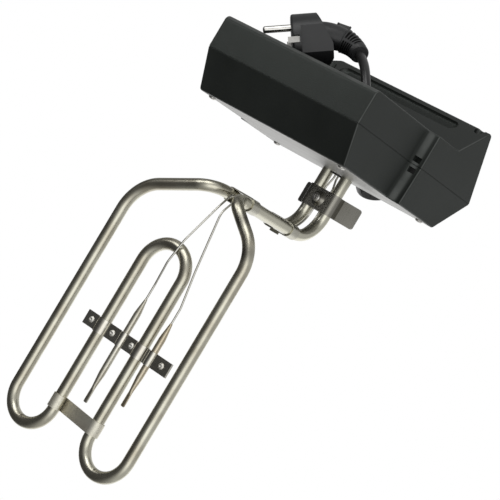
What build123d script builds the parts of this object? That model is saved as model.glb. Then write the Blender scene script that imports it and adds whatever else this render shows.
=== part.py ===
"""Lift-out heating head of a deep fryer: control box, immersion element, thermostat bulbs and mains lead.

Millimetres. +Z is up as the head hangs on the fryer, -Y points over the tank, and +X is to the user's
right. The origin is the centre of the flat bottom of the control box's rear half.
"""
from build123d import *
from math import asin, atan2, cos, degrees, hypot, pi, radians, sin, sqrt, tan
import os

# Control box
BOX_REAR = 25.0            # depth of the rear shell's lower part, from the parting plane to the back
BOX_FRONT = 28.0           # depth of the front shell, from the parting plane to the steel plate
LOWER_WIDTH = 142.0        # box below the shoulders
SHOULDER_OUT = 7.4         # how far each shoulder stands out over the lower part
LOWER_TAPER = 1.7          # how far each lower side draws in towards the plate
UPPER_TAPER = 0.8          # the same above the shoulders
SHOULDER_Z = 76.8          # height of the shoulders that hang on the fryer
COVE_R = 7.0               # hollow under each shoulder
PANEL_Z = 127.0            # lower edge of the slanted control panel
PANEL_RISE = 24.0          # from there to the ridge
EXIT_DROP = 20.2           # from the panel's lower edge down to the tubes' exits
POCKET_DROP = 5.8          # from the exits down to the lead pocket's ceiling
RAMP_LIFT = 4.0            # from that ceiling up to where the back leans out
NOSE_RISE = 25.0           # height of the leaning part
NOSE_OUT = 25.1            # how far the grip edge stands out behind the back
CHIN_Z = 13.0              # lower edge of the plate side
WALL = 2.5                 # moulded wall
EDGE_R = 1.2               # outer edges of the box
FOOT_R = 4.0               # bottom edge of the back
FOLD_R = 3.0               # where the back starts to lean out
NOSE_R = 3.0               # lip of the grip edge
NOSE_SIDE_R = 3.5          # its left corner
NOSE_CORNER_R = 25.0       # its right corner
FACE_EDGE_R = 2.6          # upper and lower edges of the plate side
GROOVE_WIDTH = 0.7         # shadow line between the shells
GROOVE_DEPTH = 0.6

# Lead pocket and finger scoop
POCKET_SIDE = 7.0          # from the pocket to the side of the box
POCKET_LOW = 11.5
POCKET_DEPTH = 34.0
POCKET_CORNER_R = 7.0
MOUTH_R = 0.8
TUB_WALL = 2.0
SCOOP_UP = 22.5            # middle of the scoop, up the leaning back
SCOOP_LENGTH = 112.0
SCOOP_WIDTH = 10.5
SCOOP_DEPTH = 6.0

# Plate and screws
PLATE_T = 1.2
PLATE_INSET = 2.0          # rim of the box round the plate
PLATE_LIP = 6.0            # seat behind the plate's edge
PLATE_SCREW_D = 2.6
PLATE_SCREW_LENGTH = 8.0
PLATE_SCREW_IN = 8.0       # from the plate's nearest edges
RAMP_SCREW_D = 3.5
RAMP_SCREW_SINK = 6.5      # depth of the well that hides its head
RAMP_SCREW_GRIP = 14.0     # reach into the front shell
RAMP_WELL_D = 7.4
RAMP_POST_D = 9.5
LEFT_SCREW_IN = 8.0        # from the side of the box
LEFT_SCREW_UP = 31.0       # up the leaning back
RIGHT_SCREW_IN = 14.4
RIGHT_SCREW_UP = 20.0
POCKET_SCREW_D = 2.8
POCKET_SCREW_IN = 8.0      # from the pocket's side
POCKET_SCREW_UP = 8.5      # from the pocket's floor
POST_D = 8.0

# Immersion element
TUBE_D = 8.5               # sheath
LOOP_Z = 6.2               # height of the loops' centre plane
EXIT_PITCH = 17.7          # between the two tubes at the plate and down the neck
NECK_OUT = 51.3            # from the plate to the neck's axis
LEG_PITCH = 38.6           # between neighbouring legs of the loops
LOOP_SHIFT = 10.0          # loops' centre line, to the right of the box's
INNER_BEND = 118.9         # from the plate to the centre of the inner bend
SPLAY = 77.6               # from the plate to the corner where the outer legs start
NECK_BEND_R = 20.0
FOOT_BEND_R = 14.0
SPLAY_BEND_R = 30.0
TUBE_INSIDE = 12.0         # sheath behind the plate's face
BUSH_D = 11.6
BUSH_END = 8.0
NUT_R = 6.2
NUT_T = 3.5
BEAD_D = 7.0
BEAD_LENGTH = 3.0
TERMINAL_D = 3.0
TERMINAL_LENGTH = 13.0
TAB_T = 0.8
TAB_WIDTH = 6.2
TAB_LENGTH = 8.0

# Rim bracket on the two exit runs
RIM_OUT = 21.3             # from the plate to its middle
RIM_LENGTH = 15.5
RIM_SHEET = 1.0
WING_SPAN = 26.6
WING_RISE = 11.5
WING_CORNER_R = 1.8
FLANK_RISE = 5.2
DOME_D = 11.0
DOME_H = 2.6
RIM_BAR_T = 1.5
RIM_SCREW_D = 4.0

# Clips, bulb bracket and strap
SHEET = 0.8
CLIP_ZS = (29.0, 81.0)
CLIP_HEIGHT = 8.5
CLIP_TAB = 8.0
BRACKET_OUT = 171.2        # from the plate to the bulb bracket's middle
BRACKET_WIDTH = 10.2
BRACKET_LEFT = 28.7        # ends of the bracket, past the legs that it holds
BRACKET_RIGHT = 16.7
RIVET_D = 2.6
RIVET_HEAD_D = 4.6
RIVET_HEAD_H = 1.0
STRAP_BACK = 5.2           # strap's middle, from the centres of the outer bends
STRAP_WIDTH = 10.0

# Bulbs and capillaries
BULB_D = 4.8
BULB_NOSE = 8.0
BULB_TAIL = 15.0
BULB_CRIMP = 6.0
CRIMP_WIDTH = 5.6
CRIMP_T = 1.2
CUTOUT_BULB_OFF = 1.0      # to the left of the middle of the legs
CUTOUT_TIP = 139.9         # from the plate
CUTOUT_BULB_LENGTH = 79.5
BULB_TO_STRAP = 5.3        # from the end of the cut-out's bulb
THERMOSTAT_BULB_OFF = 10.5 # to the left of the left-hand leg
THERMOSTAT_TIP = 144.4
THERMOSTAT_BULB_LENGTH = 63.0
CAPILLARY_D = 1.5
GROMMET_D = 6.0
GROMMET_RIM = 0.8
PAIR_X = 1.3               # half the distance between the capillaries in the grommet
SIDE_X = 3.1               # the same down the neck

# Controls
KNOB_X = -7.0
KNOB_R = 16.0
KNOB_TOP_R = 14.6
KNOB_LOW = 0.6
KNOB_HIGH = 11.0
KNOB_FLUTES = 14
FLUTE_R = 1.6
SHAFT_D = 6.0
SHAFT_TOP = 8.0
SHAFT_DEEP = 14.0
THERMOSTAT_SIZE = (32.0, 24.0)
THERMOSTAT_DEEP = 20.5
THERMOSTAT_CAN_D = 19.0
RESET_X = 38.0
BUTTON_D = 8.0
BUTTON_LOW = 0.8
BUTTON_HIGH = 3.0
STEM_D = 4.0
STEM_DEEP = 5.5
CUTOUT_SIZE = (26.0, 22.0)
CUTOUT_DEEP = 22.0
CUTOUT_CAN_D = 16.0
CAN_H = 4.0
SPADE_LENGTH = 7.0
LAMP_XS = {"power_lamp": -56.0, "ready_lamp": -42.0}
LAMP_D = 7.0
LAMP_HIGH = 1.8
LAMP_DEEP = 14.0
LAMP_BODY_D = 9.0

# Interlock and terminal block
INTERLOCK_OUT = 2.5        # plunger's middle, outside the lower part's side
INTERLOCK_BACK = 4.0       # plunger's middle, in front of the parting plane
INTERLOCK_SIDE = 3.6
INTERLOCK_TRAVEL = 2.5
PLUNGER_PROUD = 0.6
PLUNGER_TOP = 2.4          # above the shoulder's inner face
SWITCH_SIZE = (6.4, 20.0, 10.0)
SWITCH_IN = 3.4            # from the side of the box
PEG_SIDE = 4.0             # square sockets for the fryer's two guide pegs
PEG_BACK = 2.0             # from the parting plane
BLOCK_X = -46.0
BLOCK_Y = -5.0
BLOCK_SIZE = (32.0, 13.0, 12.0)
POLE_PITCH = 10.0

# Mains lead and plug
CORD_D = 6.5
COIL_R = 22.5              # inner turn of the put-away coil
COIL_TURNS = 2.5           # in each of its two layers
COIL_PITCH = 7.4           # between turns and between layers
COIL_X = -10.0
COIL_OFF_FLOOR = 1.5
COIL_STEP = 0.25
COIL_RISE = 4.0            # the front layer ends this far above the coil's middle
GLAND_NECK_D = 7.6
GLAND_FLANGE_D = 9.2
GLAND_FLANGE_T = 2.0
GLAND_LENGTH = 24.0
FREE_START = 15.0          # straight run down from the coil
FREE_POINTS = [(-48.39, -0.19, 33.18), (-41.46, 12.21, 28.76), (-25.6, 28.03, 33.98), (-13.8, 32.57, 40.0)]
TIE_WIDTH = 6.0
TIE_T = 0.8
PLUG_FACE = (27.9, 17.8, 22.3)
PIN_WAY = (0.652, -0.575, -0.495)
PAIR_WAY = (0.460, 0.818, -0.3445)
PLUG_R = 18.5
PLUG_SHORT = 17.0          # length of the plug's upper side
PLUG_LONG = 27.0           # length at the foot of its slanted back
GRIP_FLAT = 16.0           # from the plug's axis to its grip flats
GRIP_START = 6.0           # behind the plug's face
PIN_D = 4.8
PIN_LENGTH = 19.0
PIN_PITCH = 19.0
CLIP_AXIS = 15.6           # from the plug's axis to its earth clips
CLIP_T = 0.8
CLIP_WIDTH = 4.0
NOTCH_WIDTH = 5.4
NOTCH_DEEP = 5.0
GUIDE_DEEP = 10.0
TAIL_RADII = (9.5, 9.2, 8.0, 6.4, 5.4)
TAIL_OFF = 3.0             # start of the tail, beside the plug's axis
TAIL_IN = 16.0             # and behind its face
RING_SPOTS = (0.70, 0.80, 0.90)
RING_WIDTH = 1.4
RING_DEPTH = 1.0

# Clearances
SLIP = 0.05                # running fit, on the radius
GAP = 0.3                  # between pieces that stay apart
FIT = 0.1                  # between a clip and what it holds

# Worked out from the sizes above
UPPER_WIDTH = LOWER_WIDTH + 2 * SHOULDER_OUT
LOWER_HALF = LOWER_WIDTH / 2
UPPER_HALF = UPPER_WIDTH / 2
PEAK_Z = PANEL_Z + PANEL_RISE
EXIT_Z = PANEL_Z - EXIT_DROP
POCKET_HIGH = EXIT_Z - POCKET_DROP
RAMP_Z = POCKET_HIGH + RAMP_LIFT
NOSE_Z = RAMP_Z + NOSE_RISE
PART_Y = -BOX_REAR / 2
BACK_Y = BOX_REAR / 2
PLATE_Y = PART_Y - BOX_FRONT
NOSE_Y = BACK_Y + NOSE_OUT
FRONT_MID_Y = (PLATE_Y + PART_Y) / 2
POCKET_HALF = LOWER_HALF - POCKET_SIDE
POCKET_FLOOR_Y = BACK_Y - POCKET_DEPTH
RAMP_RUN = hypot(NOSE_OUT, NOSE_RISE)
TUBE_R = TUBE_D / 2
NECK_Y = PLATE_Y - NECK_OUT
EXIT_X = EXIT_PITCH / 2
LEG_END = CUTOUT_TIP + CUTOUT_BULB_LENGTH + BULB_TO_STRAP + STRAP_WIDTH / 2 + STRAP_BACK
LEG_END_Y = PLATE_Y - LEG_END  # centres of the outer bends
INNER_BEND_Y = PLATE_Y - INNER_BEND
SPLAY_Y = PLATE_Y - SPLAY
ELEMENT_INNER_Y = PLATE_Y + TUBE_INSIDE
RIM_Y = PLATE_Y - RIM_OUT
LEFT_LEG = LOOP_SHIFT - LEG_PITCH / 2
RIGHT_LEG = LOOP_SHIFT + LEG_PITCH / 2
BRACKET_Y = PLATE_Y - BRACKET_OUT
BRACKET_X = (LEFT_LEG - BRACKET_LEFT, RIGHT_LEG + BRACKET_RIGHT)
RIVET_XS = (LEFT_LEG - 21.7, LEFT_LEG + 8.3, RIGHT_LEG - 10.8, RIGHT_LEG + 10.7)
CUTOUT_BULB_X = LOOP_SHIFT - CUTOUT_BULB_OFF
THERMOSTAT_BULB_X = LEFT_LEG - THERMOSTAT_BULB_OFF
STRAP_Y = LEG_END_Y + STRAP_BACK
INTERLOCK_X = -LOWER_HALF - INTERLOCK_OUT
INTERLOCK_Y = PART_Y - INTERLOCK_BACK
INNER_SHOULDER = SHOULDER_Z + WALL
SWITCH_LOW = INNER_SHOULDER + PLUNGER_TOP + INTERLOCK_TRAVEL + GAP
COIL_Z = (POCKET_LOW + POCKET_HIGH) / 2
CORD_BACK_Y = POCKET_FLOOR_Y + COIL_OFF_FLOOR + CORD_D / 2
CORD_FRONT_Y = CORD_BACK_Y + COIL_PITCH
GLAND_X = COIL_X - COIL_R - COIL_PITCH * COIL_TURNS
GLAND_END_Z = POCKET_HIGH - GLAND_LENGTH

# Screw places: X and Z on the plate, X and the way up the slope on the leaning back, X and Z in the pocket
PLATE_SCREWS = [
    (-LOWER_HALF + PLATE_SCREW_IN + 1, CHIN_Z + PLATE_SCREW_IN),
    (LOWER_HALF - PLATE_SCREW_IN - 1, CHIN_Z + PLATE_SCREW_IN),
    (-UPPER_HALF + PLATE_SCREW_IN + 0.4, PANEL_Z - PLATE_SCREW_IN),
    (UPPER_HALF - PLATE_SCREW_IN - 0.4, PANEL_Z - PLATE_SCREW_IN)]
RAMP_SCREWS = [(-UPPER_HALF + LEFT_SCREW_IN, LEFT_SCREW_UP), (UPPER_HALF - RIGHT_SCREW_IN, RIGHT_SCREW_UP)]
POCKET_SCREWS = [
    (-POCKET_HALF + POCKET_SCREW_IN, POCKET_LOW + POCKET_SCREW_UP),
    (POCKET_HALF - POCKET_SCREW_IN, POCKET_LOW + POCKET_SCREW_UP)]

# Working planes
FRONT = Plane(origin=(0, PLATE_Y, 0), x_dir=(1, 0, 0), z_dir=(0, -1, 0))
PARTING = Plane(origin=(0, PART_Y, 0), x_dir=(1, 0, 0), z_dir=(0, -1, 0))
PANEL = Plane(
    origin=(0, FRONT_MID_Y, (PANEL_Z + PEAK_Z) / 2), x_dir=(1, 0, 0), z_dir=(0, -PANEL_RISE, BOX_FRONT))
RAMP = Plane(origin=(0, BACK_Y, RAMP_Z), x_dir=(1, 0, 0), z_dir=(0, NOSE_RISE, -NOSE_OUT))
PLUG = Plane(origin=PLUG_FACE, x_dir=PAIR_WAY, z_dir=PIN_WAY)

nodes = {}


def rounded_path(points, radii):
    """Straight runs joined by tangent arcs, one radius for each inner corner."""
    corners = [Vector(*p) for p in points]
    edges = []
    last = corners[0]
    for before, corner, after, radius in zip(corners, corners[1:], corners[2:], radii):
        to_before = (before - corner).normalized()
        to_after = (after - corner).normalized()
        half = radians(to_before.get_angle(to_after)) / 2
        start = corner + to_before * (radius / tan(half))
        end = corner + to_after * (radius / tan(half))
        middle = corner + (to_before + to_after).normalized() * (radius / sin(half) - radius)
        if (start - last).length > 0.01:
            edges.append(Line(last, start))
        edges.append(ThreePointArc(start, middle, end))
        last = end
    if (corners[-1] - last).length > 0.01:
        edges.append(Line(last, corners[-1]))
    return Wire(edges)


def swept_tube(label, path, diameter):
    """A round rod along a path; prints its length and how its volume compares with it."""
    start = Plane(origin=path @ 0, z_dir=path % 0)
    tube = sweep(start * Circle(diameter / 2), path=path)
    ratio = tube.volume / (path.length * pi * diameter ** 2 / 4)
    print("%s: length %.0f mm, volume ratio %.4f" % (label, path.length, ratio))
    return tube


def rod(start, end, diameter):
    """A straight round bar between two points."""
    base, tip = Vector(*start), Vector(*end)
    frame = Plane(origin=base, z_dir=tip - base)
    return extrude(frame * Circle(diameter / 2), amount=(tip - base).length)


def block(x, y, z):
    """A box from its three spans."""
    size = (x[1] - x[0], y[1] - y[0], z[1] - z[0])
    centre = ((x[0] + x[1]) / 2, (y[0] + y[1]) / 2, (z[0] + z[1]) / 2)
    return Pos(*centre) * Box(*size)


def both_sides(piece):
    """A piece and its mirror image across the box's centre plane."""
    return piece + mirror(piece, about=Plane.YZ)


def edges_at(form, spots):
    """The edge whose middle is nearest to each spot."""
    return [min(form.edges(), key=lambda e: (e.center() - Vector(*spot)).length) for spot in spots]


# Housing outline

def side_profile(inset):
    """The box seen from the side, in Y and Z."""
    outline = Polyline(
        (PART_Y, 0), (BACK_Y, 0), (BACK_Y, RAMP_Z), (NOSE_Y, NOSE_Z), (PART_Y, PEAK_Z),
        (PLATE_Y, PANEL_Z), (PLATE_Y, CHIN_Z), close=True)
    face = make_face(outline)
    face = fillet([v for v in face.vertices() if v.Y < 1 and v.X > 0], FOOT_R)
    face = fillet([v for v in face.vertices() if v.X > BACK_Y + 1], NOSE_R)
    face = fillet([v for v in face.vertices() if v.X < PLATE_Y + 1], FACE_EDGE_R)
    if inset:
        face = offset(face, amount=-inset, kind=Kind.INTERSECTION)
    return face


def plan_outline(half_width, taper, corner, inset):
    """The box seen from above, for one of its two widths."""
    wide = half_width
    narrow = half_width - taper
    outline = Polyline(
        (-narrow, PLATE_Y), (narrow, PLATE_Y), (wide, PART_Y), (wide, NOSE_Y), (-wide, NOSE_Y),
        (-wide, PART_Y), close=True)
    face = make_face(outline)
    if corner:
        face = fillet([v for v in face.vertices() if v.X > 0 and v.Y > BACK_Y], corner)
        face = fillet([v for v in face.vertices() if v.X < 0 and v.Y > BACK_Y], NOSE_SIDE_R)
    if inset:
        face = offset(face, amount=-inset, kind=Kind.INTERSECTION)
    return face


def housing_half(inset, rear):
    """One half of the closed outer form of the box, drawn in by an even inset."""
    shoulder = SHOULDER_Z + inset
    near, far = (PART_Y, NOSE_Y + 1) if rear else (PLATE_Y - 1, PART_Y)
    window = Pos((near + far) / 2, PEAK_Z / 2) * Rectangle(far - near, PEAK_Z + 2)
    slab = extrude(Plane.YZ * (side_profile(inset) & window), amount=UPPER_WIDTH, both=True)
    lower = extrude(plan_outline(LOWER_HALF, LOWER_TAPER, 0, inset), amount=shoulder + 1)
    upper_plan = plan_outline(UPPER_HALF, UPPER_TAPER, NOSE_CORNER_R, inset)
    upper = extrude(Pos(0, 0, shoulder) * upper_plan, amount=PEAK_Z)
    body = slab & (lower + upper)
    under = [e for e in body.edges()
             if abs(e.center().Z - shoulder) < 0.01 and abs(e.center().X) < LOWER_HALF + 0.5
             and abs(e.center().X) > LOWER_HALF - 6 and abs(e.tangent_at(0.5).Y) > 0.9]
    return fillet(under, COVE_R if inset == 0 else COVE_R - 1.5)


def cross_outline(low, high, bottom, top, inset):
    """The box cut across, in X and Z, from its two half widths and its two heights, drawn in by an inset."""
    step = SHOULDER_Z + inset
    low, high = low - inset, high - inset
    bottom, top = bottom + inset, top - inset
    outline = Polyline(
        (-low, bottom), (low, bottom), (low, step), (high, step), (high, top), (-high, top),
        (-high, step), (-low, step), close=True)
    face = make_face(outline)
    inner = [v for v in face.vertices() if abs(v.Y - step) < 0.01 and abs(v.X) < low + 0.01]
    return fillet(inner, COVE_R - 0.5)


def front_outline(inset):
    """The plate side of the box seen from the front, drawn in by an inset."""
    face = cross_outline(LOWER_HALF - LOWER_TAPER, UPPER_HALF - UPPER_TAPER, CHIN_Z, PANEL_Z, inset)
    ends = face.vertices().group_by(Axis.Y)
    return fillet(ends[0] + ends[-1], 2.0)


def ramp_point(along):
    """Y and Z of a point on the leaning back, measured up the slope."""
    share = along / RAMP_RUN
    return BACK_Y + NOSE_OUT * share, RAMP_Z + NOSE_RISE * share


# Shells
rear_form = housing_half(0, True)
rear_form = fillet(edges_at(rear_form, [(0, BACK_Y, RAMP_Z)]), FOLD_R)
rear_rims = [
    (-UPPER_HALF, (BACK_Y + NOSE_Y) / 2, (RAMP_Z + NOSE_Z) / 2),
    (-UPPER_HALF, (PART_Y + NOSE_Y) / 2, (PEAK_Z + NOSE_Z) / 2), (UPPER_HALF, 0, PEAK_Z - 5)]
for side in (-1, 1):
    rear_rims.append((side * LOWER_HALF, BACK_Y, (FOOT_R + SHOULDER_Z - COVE_R) / 2))
    rear_rims.append((side * UPPER_HALF, 0, SHOULDER_Z))
    rear_rims.append((side * UPPER_HALF, BACK_Y, (SHOULDER_Z + RAMP_Z) / 2))
rear_form = fillet(edges_at(rear_form, rear_rims), EDGE_R)
front_form = housing_half(0, False)
front_rims = []
for side in (-1, 1):
    front_rims.append((side * UPPER_HALF, FRONT_MID_Y, (PANEL_Z + PEAK_Z) / 2))
    front_rims.append((side * UPPER_HALF, FRONT_MID_Y, SHOULDER_Z))
    front_rims.append((side * LOWER_HALF, FRONT_MID_Y, CHIN_Z / 2))
front_form = fillet(edges_at(front_form, front_rims), EDGE_R)
rear_cavity = housing_half(WALL, True)
front_cavity = housing_half(WALL, False)
parting_cut = cross_outline(LOWER_HALF, UPPER_HALF, 0, PEAK_Z, GROOVE_DEPTH)
parting_ring = Rectangle(3 * UPPER_WIDTH, 3 * PEAK_Z) - parting_cut
parting_groove = extrude(PARTING * parting_ring, amount=GROOVE_WIDTH / 2, both=True)


def rear_shell():
    """Rear half: lead pocket, leaning back with its finger scoop, sunk screws and guide sockets."""
    shell = rear_form - rear_cavity - parting_groove
    tub = block((-POCKET_HALF - TUB_WALL, POCKET_HALF + TUB_WALL), (POCKET_FLOOR_Y - TUB_WALL, BACK_Y - 1),
                (POCKET_LOW - TUB_WALL, POCKET_HIGH + TUB_WALL))
    tub = fillet(tub.edges().filter_by(Axis.Y), POCKET_CORNER_R + TUB_WALL)
    pocket = block((-POCKET_HALF, POCKET_HALF), (POCKET_FLOOR_Y, BACK_Y + 5), (POCKET_LOW, POCKET_HIGH))
    pocket = fillet(pocket.edges().filter_by(Axis.Y), POCKET_CORNER_R)
    scoop = RAMP * Pos(0, -SCOOP_UP) * SlotOverall(SCOOP_LENGTH, SCOOP_WIDTH)
    liner = RAMP * Pos(0, -SCOOP_UP) * SlotOverall(SCOOP_LENGTH + 2 * TUB_WALL, SCOOP_WIDTH + 2 * TUB_WALL)
    shell += tub
    shell += extrude(liner, amount=-SCOOP_DEPTH - TUB_WALL) & rear_form
    for x, along in RAMP_SCREWS:
        y, z = ramp_point(along)
        shell += rod((x, PART_Y, z), (x, y + 8, z), RAMP_POST_D) & rear_form
    shell -= pocket
    shell -= extrude(scoop, amount=-SCOOP_DEPTH)
    mouth = [e for e in shell.edges() if abs(e.center().Y - BACK_Y) < 0.01 and abs(e.center().X) < POCKET_HALF + 0.1
             and POCKET_LOW - 0.1 < e.center().Z < POCKET_HIGH + 0.1]
    shell = fillet(mouth, MOUTH_R)
    for x, along in RAMP_SCREWS:
        y, z = ramp_point(along)
        shell -= rod((x, y - RAMP_SCREW_SINK, z), (x, y + 12, z), RAMP_WELL_D)
        shell -= rod((x, PART_Y - 1, z), (x, y, z), RAMP_SCREW_D + 0.7)
    for x, z in POCKET_SCREWS:
        shell -= rod((x, POCKET_FLOOR_Y - 5, z), (x, POCKET_FLOOR_Y + 1, z), POCKET_SCREW_D + 0.4)
    gland_low, gland_high = POCKET_HIGH - 1, POCKET_HIGH + 5
    shell -= rod((GLAND_X, CORD_BACK_Y, gland_low), (GLAND_X, CORD_BACK_Y, gland_high), GLAND_NECK_D)
    peg_y = PART_Y + PEG_BACK
    peg = block((INTERLOCK_X - PEG_SIDE / 2, INTERLOCK_X + PEG_SIDE / 2), (peg_y, peg_y + PEG_SIDE),
                (SHOULDER_Z - 17, SHOULDER_Z + 1))
    return shell - both_sides(peg)


def front_shell():
    """Front half: slanted control panel, plate seat, screw posts and the interlock's slot."""
    shell = front_form - front_cavity - parting_groove
    seat = extrude(FRONT * front_outline(PLATE_INSET), amount=-PLATE_T)
    window = extrude(FRONT * front_outline(PLATE_INSET + PLATE_LIP), amount=-WALL - 1)
    shell = shell - seat - window
    for x, z in PLATE_SCREWS:
        shell += rod((x, PLATE_Y + PLATE_T, z), (x, PLATE_Y + 10, z), POST_D - 0.8) & front_form
    for x, z in POCKET_SCREWS:
        shell += rod((x, PLATE_Y + PLATE_T, z), (x, POCKET_FLOOR_Y - TUB_WALL, z), POST_D)
    for x, along in RAMP_SCREWS:
        z = ramp_point(along)[1]
        shell += rod((x, PART_Y - RAMP_SCREW_GRIP - 4, z), (x, PART_Y, z), RAMP_POST_D) & front_form
    switch_side = -UPPER_HALF + SWITCH_IN
    shell += block((-UPPER_HALF + WALL / 2, switch_side), (PART_Y - 13, PART_Y), (SWITCH_LOW + 1.5, SWITCH_LOW + 9.5))
    for x, z in PLATE_SCREWS:
        shell -= rod((x, PLATE_Y, z), (x, PLATE_Y + PLATE_SCREW_LENGTH + 0.5, z), PLATE_SCREW_D + 0.1)
    for x, z in POCKET_SCREWS:
        shell -= rod((x, PLATE_Y + 6, z), (x, POCKET_FLOOR_Y, z), POCKET_SCREW_D + 0.1)
    for x, along in RAMP_SCREWS:
        z = ramp_point(along)[1]
        shell -= rod((x, PART_Y - RAMP_SCREW_GRIP - 2, z), (x, PART_Y + 1, z), RAMP_SCREW_D + 0.1)
    openings = {KNOB_X: SHAFT_D + 2, RESET_X: BUTTON_D + 2 * FIT}
    for x in LAMP_XS.values():
        openings[x] = LAMP_D + 2 * FIT
    for x, diameter in openings.items():
        shell -= extrude(PANEL * Pos(x, 0) * Circle(diameter / 2), amount=WALL + 2, both=True)
    half = INTERLOCK_SIDE / 2 + FIT
    slot = block((INTERLOCK_X - half, INTERLOCK_X + half), (INTERLOCK_Y - half, INTERLOCK_Y + half),
                 (SHOULDER_Z - 17, SHOULDER_Z + 5))
    return shell - slot


nodes["rear_shell"] = rear_shell()
nodes["front_shell"] = front_shell()


# Steel plate and the screws that hold the box together

def front_plate():
    """Plate over the front of the box, with the tubes' holes, the grommet's hole and the screw holes."""
    plate = extrude(FRONT * offset(front_outline(PLATE_INSET), amount=-FIT), amount=-PLATE_T)
    holes = [(-EXIT_X, EXIT_Z, TUBE_D + 2 * FIT), (EXIT_X, EXIT_Z, TUBE_D + 2 * FIT), (0, EXIT_Z, GROMMET_D)]
    holes += [(x, z, PLATE_SCREW_D + 0.3) for x, z in PLATE_SCREWS]
    for x, z, diameter in holes:
        plate -= rod((x, PLATE_Y - 1, z), (x, PLATE_Y + 3, z), diameter)
    return plate


def pan_screw(seat, tip, shank, head, height):
    """A screw from its seat to its tip, with a domed head on the near side of the seat."""
    direction = (Vector(*tip) - Vector(*seat)).normalized()
    crown = Vector(*seat) - direction * height
    cap = rod(tuple(crown), seat, head)
    rim = cap.edges().sort_by(Axis(seat, tuple(-direction)))[-1]
    return fillet(rim, height * 0.6) + rod(seat, tip, shank)


def plate_screw(x, z):
    """One of the four screws of the plate."""
    return pan_screw((x, PLATE_Y, z), (x, PLATE_Y + PLATE_SCREW_LENGTH, z), PLATE_SCREW_D, 5.4, 1.6)


def ramp_screw(x, along):
    """One of the two long screws, with its head sunk in the leaning back."""
    y, z = ramp_point(along)
    return pan_screw((x, y - RAMP_SCREW_SINK, z), (x, PART_Y - RAMP_SCREW_GRIP, z), RAMP_SCREW_D, 6.8, 2.4)


def pocket_screw(x, z):
    """One of the two screws in the pocket's back wall."""
    return pan_screw((x, POCKET_FLOOR_Y, z), (x, PLATE_Y + 7, z), POCKET_SCREW_D, 5.2, 1.2)


nodes["front_plate"] = front_plate()
nodes["plate_screws"] = Part() + [plate_screw(*place) for place in PLATE_SCREWS]
nodes["ramp_screws"] = Part() + [ramp_screw(*place) for place in RAMP_SCREWS]
nodes["pocket_screws"] = Part() + [pocket_screw(*place) for place in POCKET_SCREWS]


# Immersion element: one tube from terminal to terminal

def element_path():
    """Right-hand exit, down the neck, round the four legs and back up to the left-hand exit."""
    legs = [LOOP_SHIFT + k * LEG_PITCH for k in (1.5, 0.5, -0.5, -1.5)]
    bend = LEG_PITCH / 2
    tip_y = LEG_END_Y - bend
    top_y = INNER_BEND_Y + bend
    points = [
        (EXIT_X, ELEMENT_INNER_Y, EXIT_Z), (EXIT_X, NECK_Y, EXIT_Z), (EXIT_X, NECK_Y, LOOP_Z),
        (legs[0], SPLAY_Y, LOOP_Z), (legs[0], tip_y, LOOP_Z), (legs[1], tip_y, LOOP_Z),
        (legs[1], top_y, LOOP_Z), (legs[2], top_y, LOOP_Z), (legs[2], tip_y, LOOP_Z),
        (legs[3], tip_y, LOOP_Z), (legs[3], SPLAY_Y, LOOP_Z), (-EXIT_X, NECK_Y, LOOP_Z),
        (-EXIT_X, NECK_Y, EXIT_Z), (-EXIT_X, ELEMENT_INNER_Y, EXIT_Z)]
    down = [NECK_BEND_R, FOOT_BEND_R, SPLAY_BEND_R]
    return rounded_path(points, down + [bend] * 6 + down[::-1])


def element_bush(x):
    """Fixing bush and nut behind the plate."""
    seat = PLATE_Y + PLATE_T
    bush = rod((x, seat, EXIT_Z), (x, PLATE_Y + BUSH_END, EXIT_Z), BUSH_D)
    nut = Plane(origin=(x, seat, EXIT_Z), z_dir=(0, 1, 0)) * RegularPolygon(NUT_R, 6, rotation=30)
    return bush + extrude(nut, amount=NUT_T) - rod((x, PLATE_Y, EXIT_Z), (x, PLATE_Y + 20, EXIT_Z), TUBE_D)


def terminal_bead(x):
    """Insulating bead that closes the end of the sheath."""
    end = ELEMENT_INNER_Y + BEAD_LENGTH
    bead = rod((x, ELEMENT_INNER_Y, EXIT_Z), (x, end, EXIT_Z), BEAD_D)
    return bead - rod((x, ELEMENT_INNER_Y - 1, EXIT_Z), (x, end + 2, EXIT_Z), TERMINAL_D)


def terminal_pin(x):
    """Pin out of the bead with a flat tab for the wire."""
    end = ELEMENT_INNER_Y + TERMINAL_LENGTH
    start = end - TAB_LENGTH
    pin = rod((x, ELEMENT_INNER_Y, EXIT_Z), (x, start + 1, EXIT_Z), TERMINAL_D)
    tab = block((x - TAB_T / 2, x + TAB_T / 2), (start, end), (EXIT_Z - TAB_WIDTH / 2, EXIT_Z + TAB_WIDTH / 2))
    return pin + tab


nodes["heating_element"] = swept_tube("element", element_path(), TUBE_D)
nodes["element_bushes"] = Part() + [element_bush(x) for x in (-EXIT_X, EXIT_X)]
nodes["terminal_beads"] = Part() + [terminal_bead(x) for x in (-EXIT_X, EXIT_X)]
nodes["terminal_pins"] = Part() + [terminal_pin(x) for x in (-EXIT_X, EXIT_X)]


# Rim bracket on the two exit runs

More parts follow.
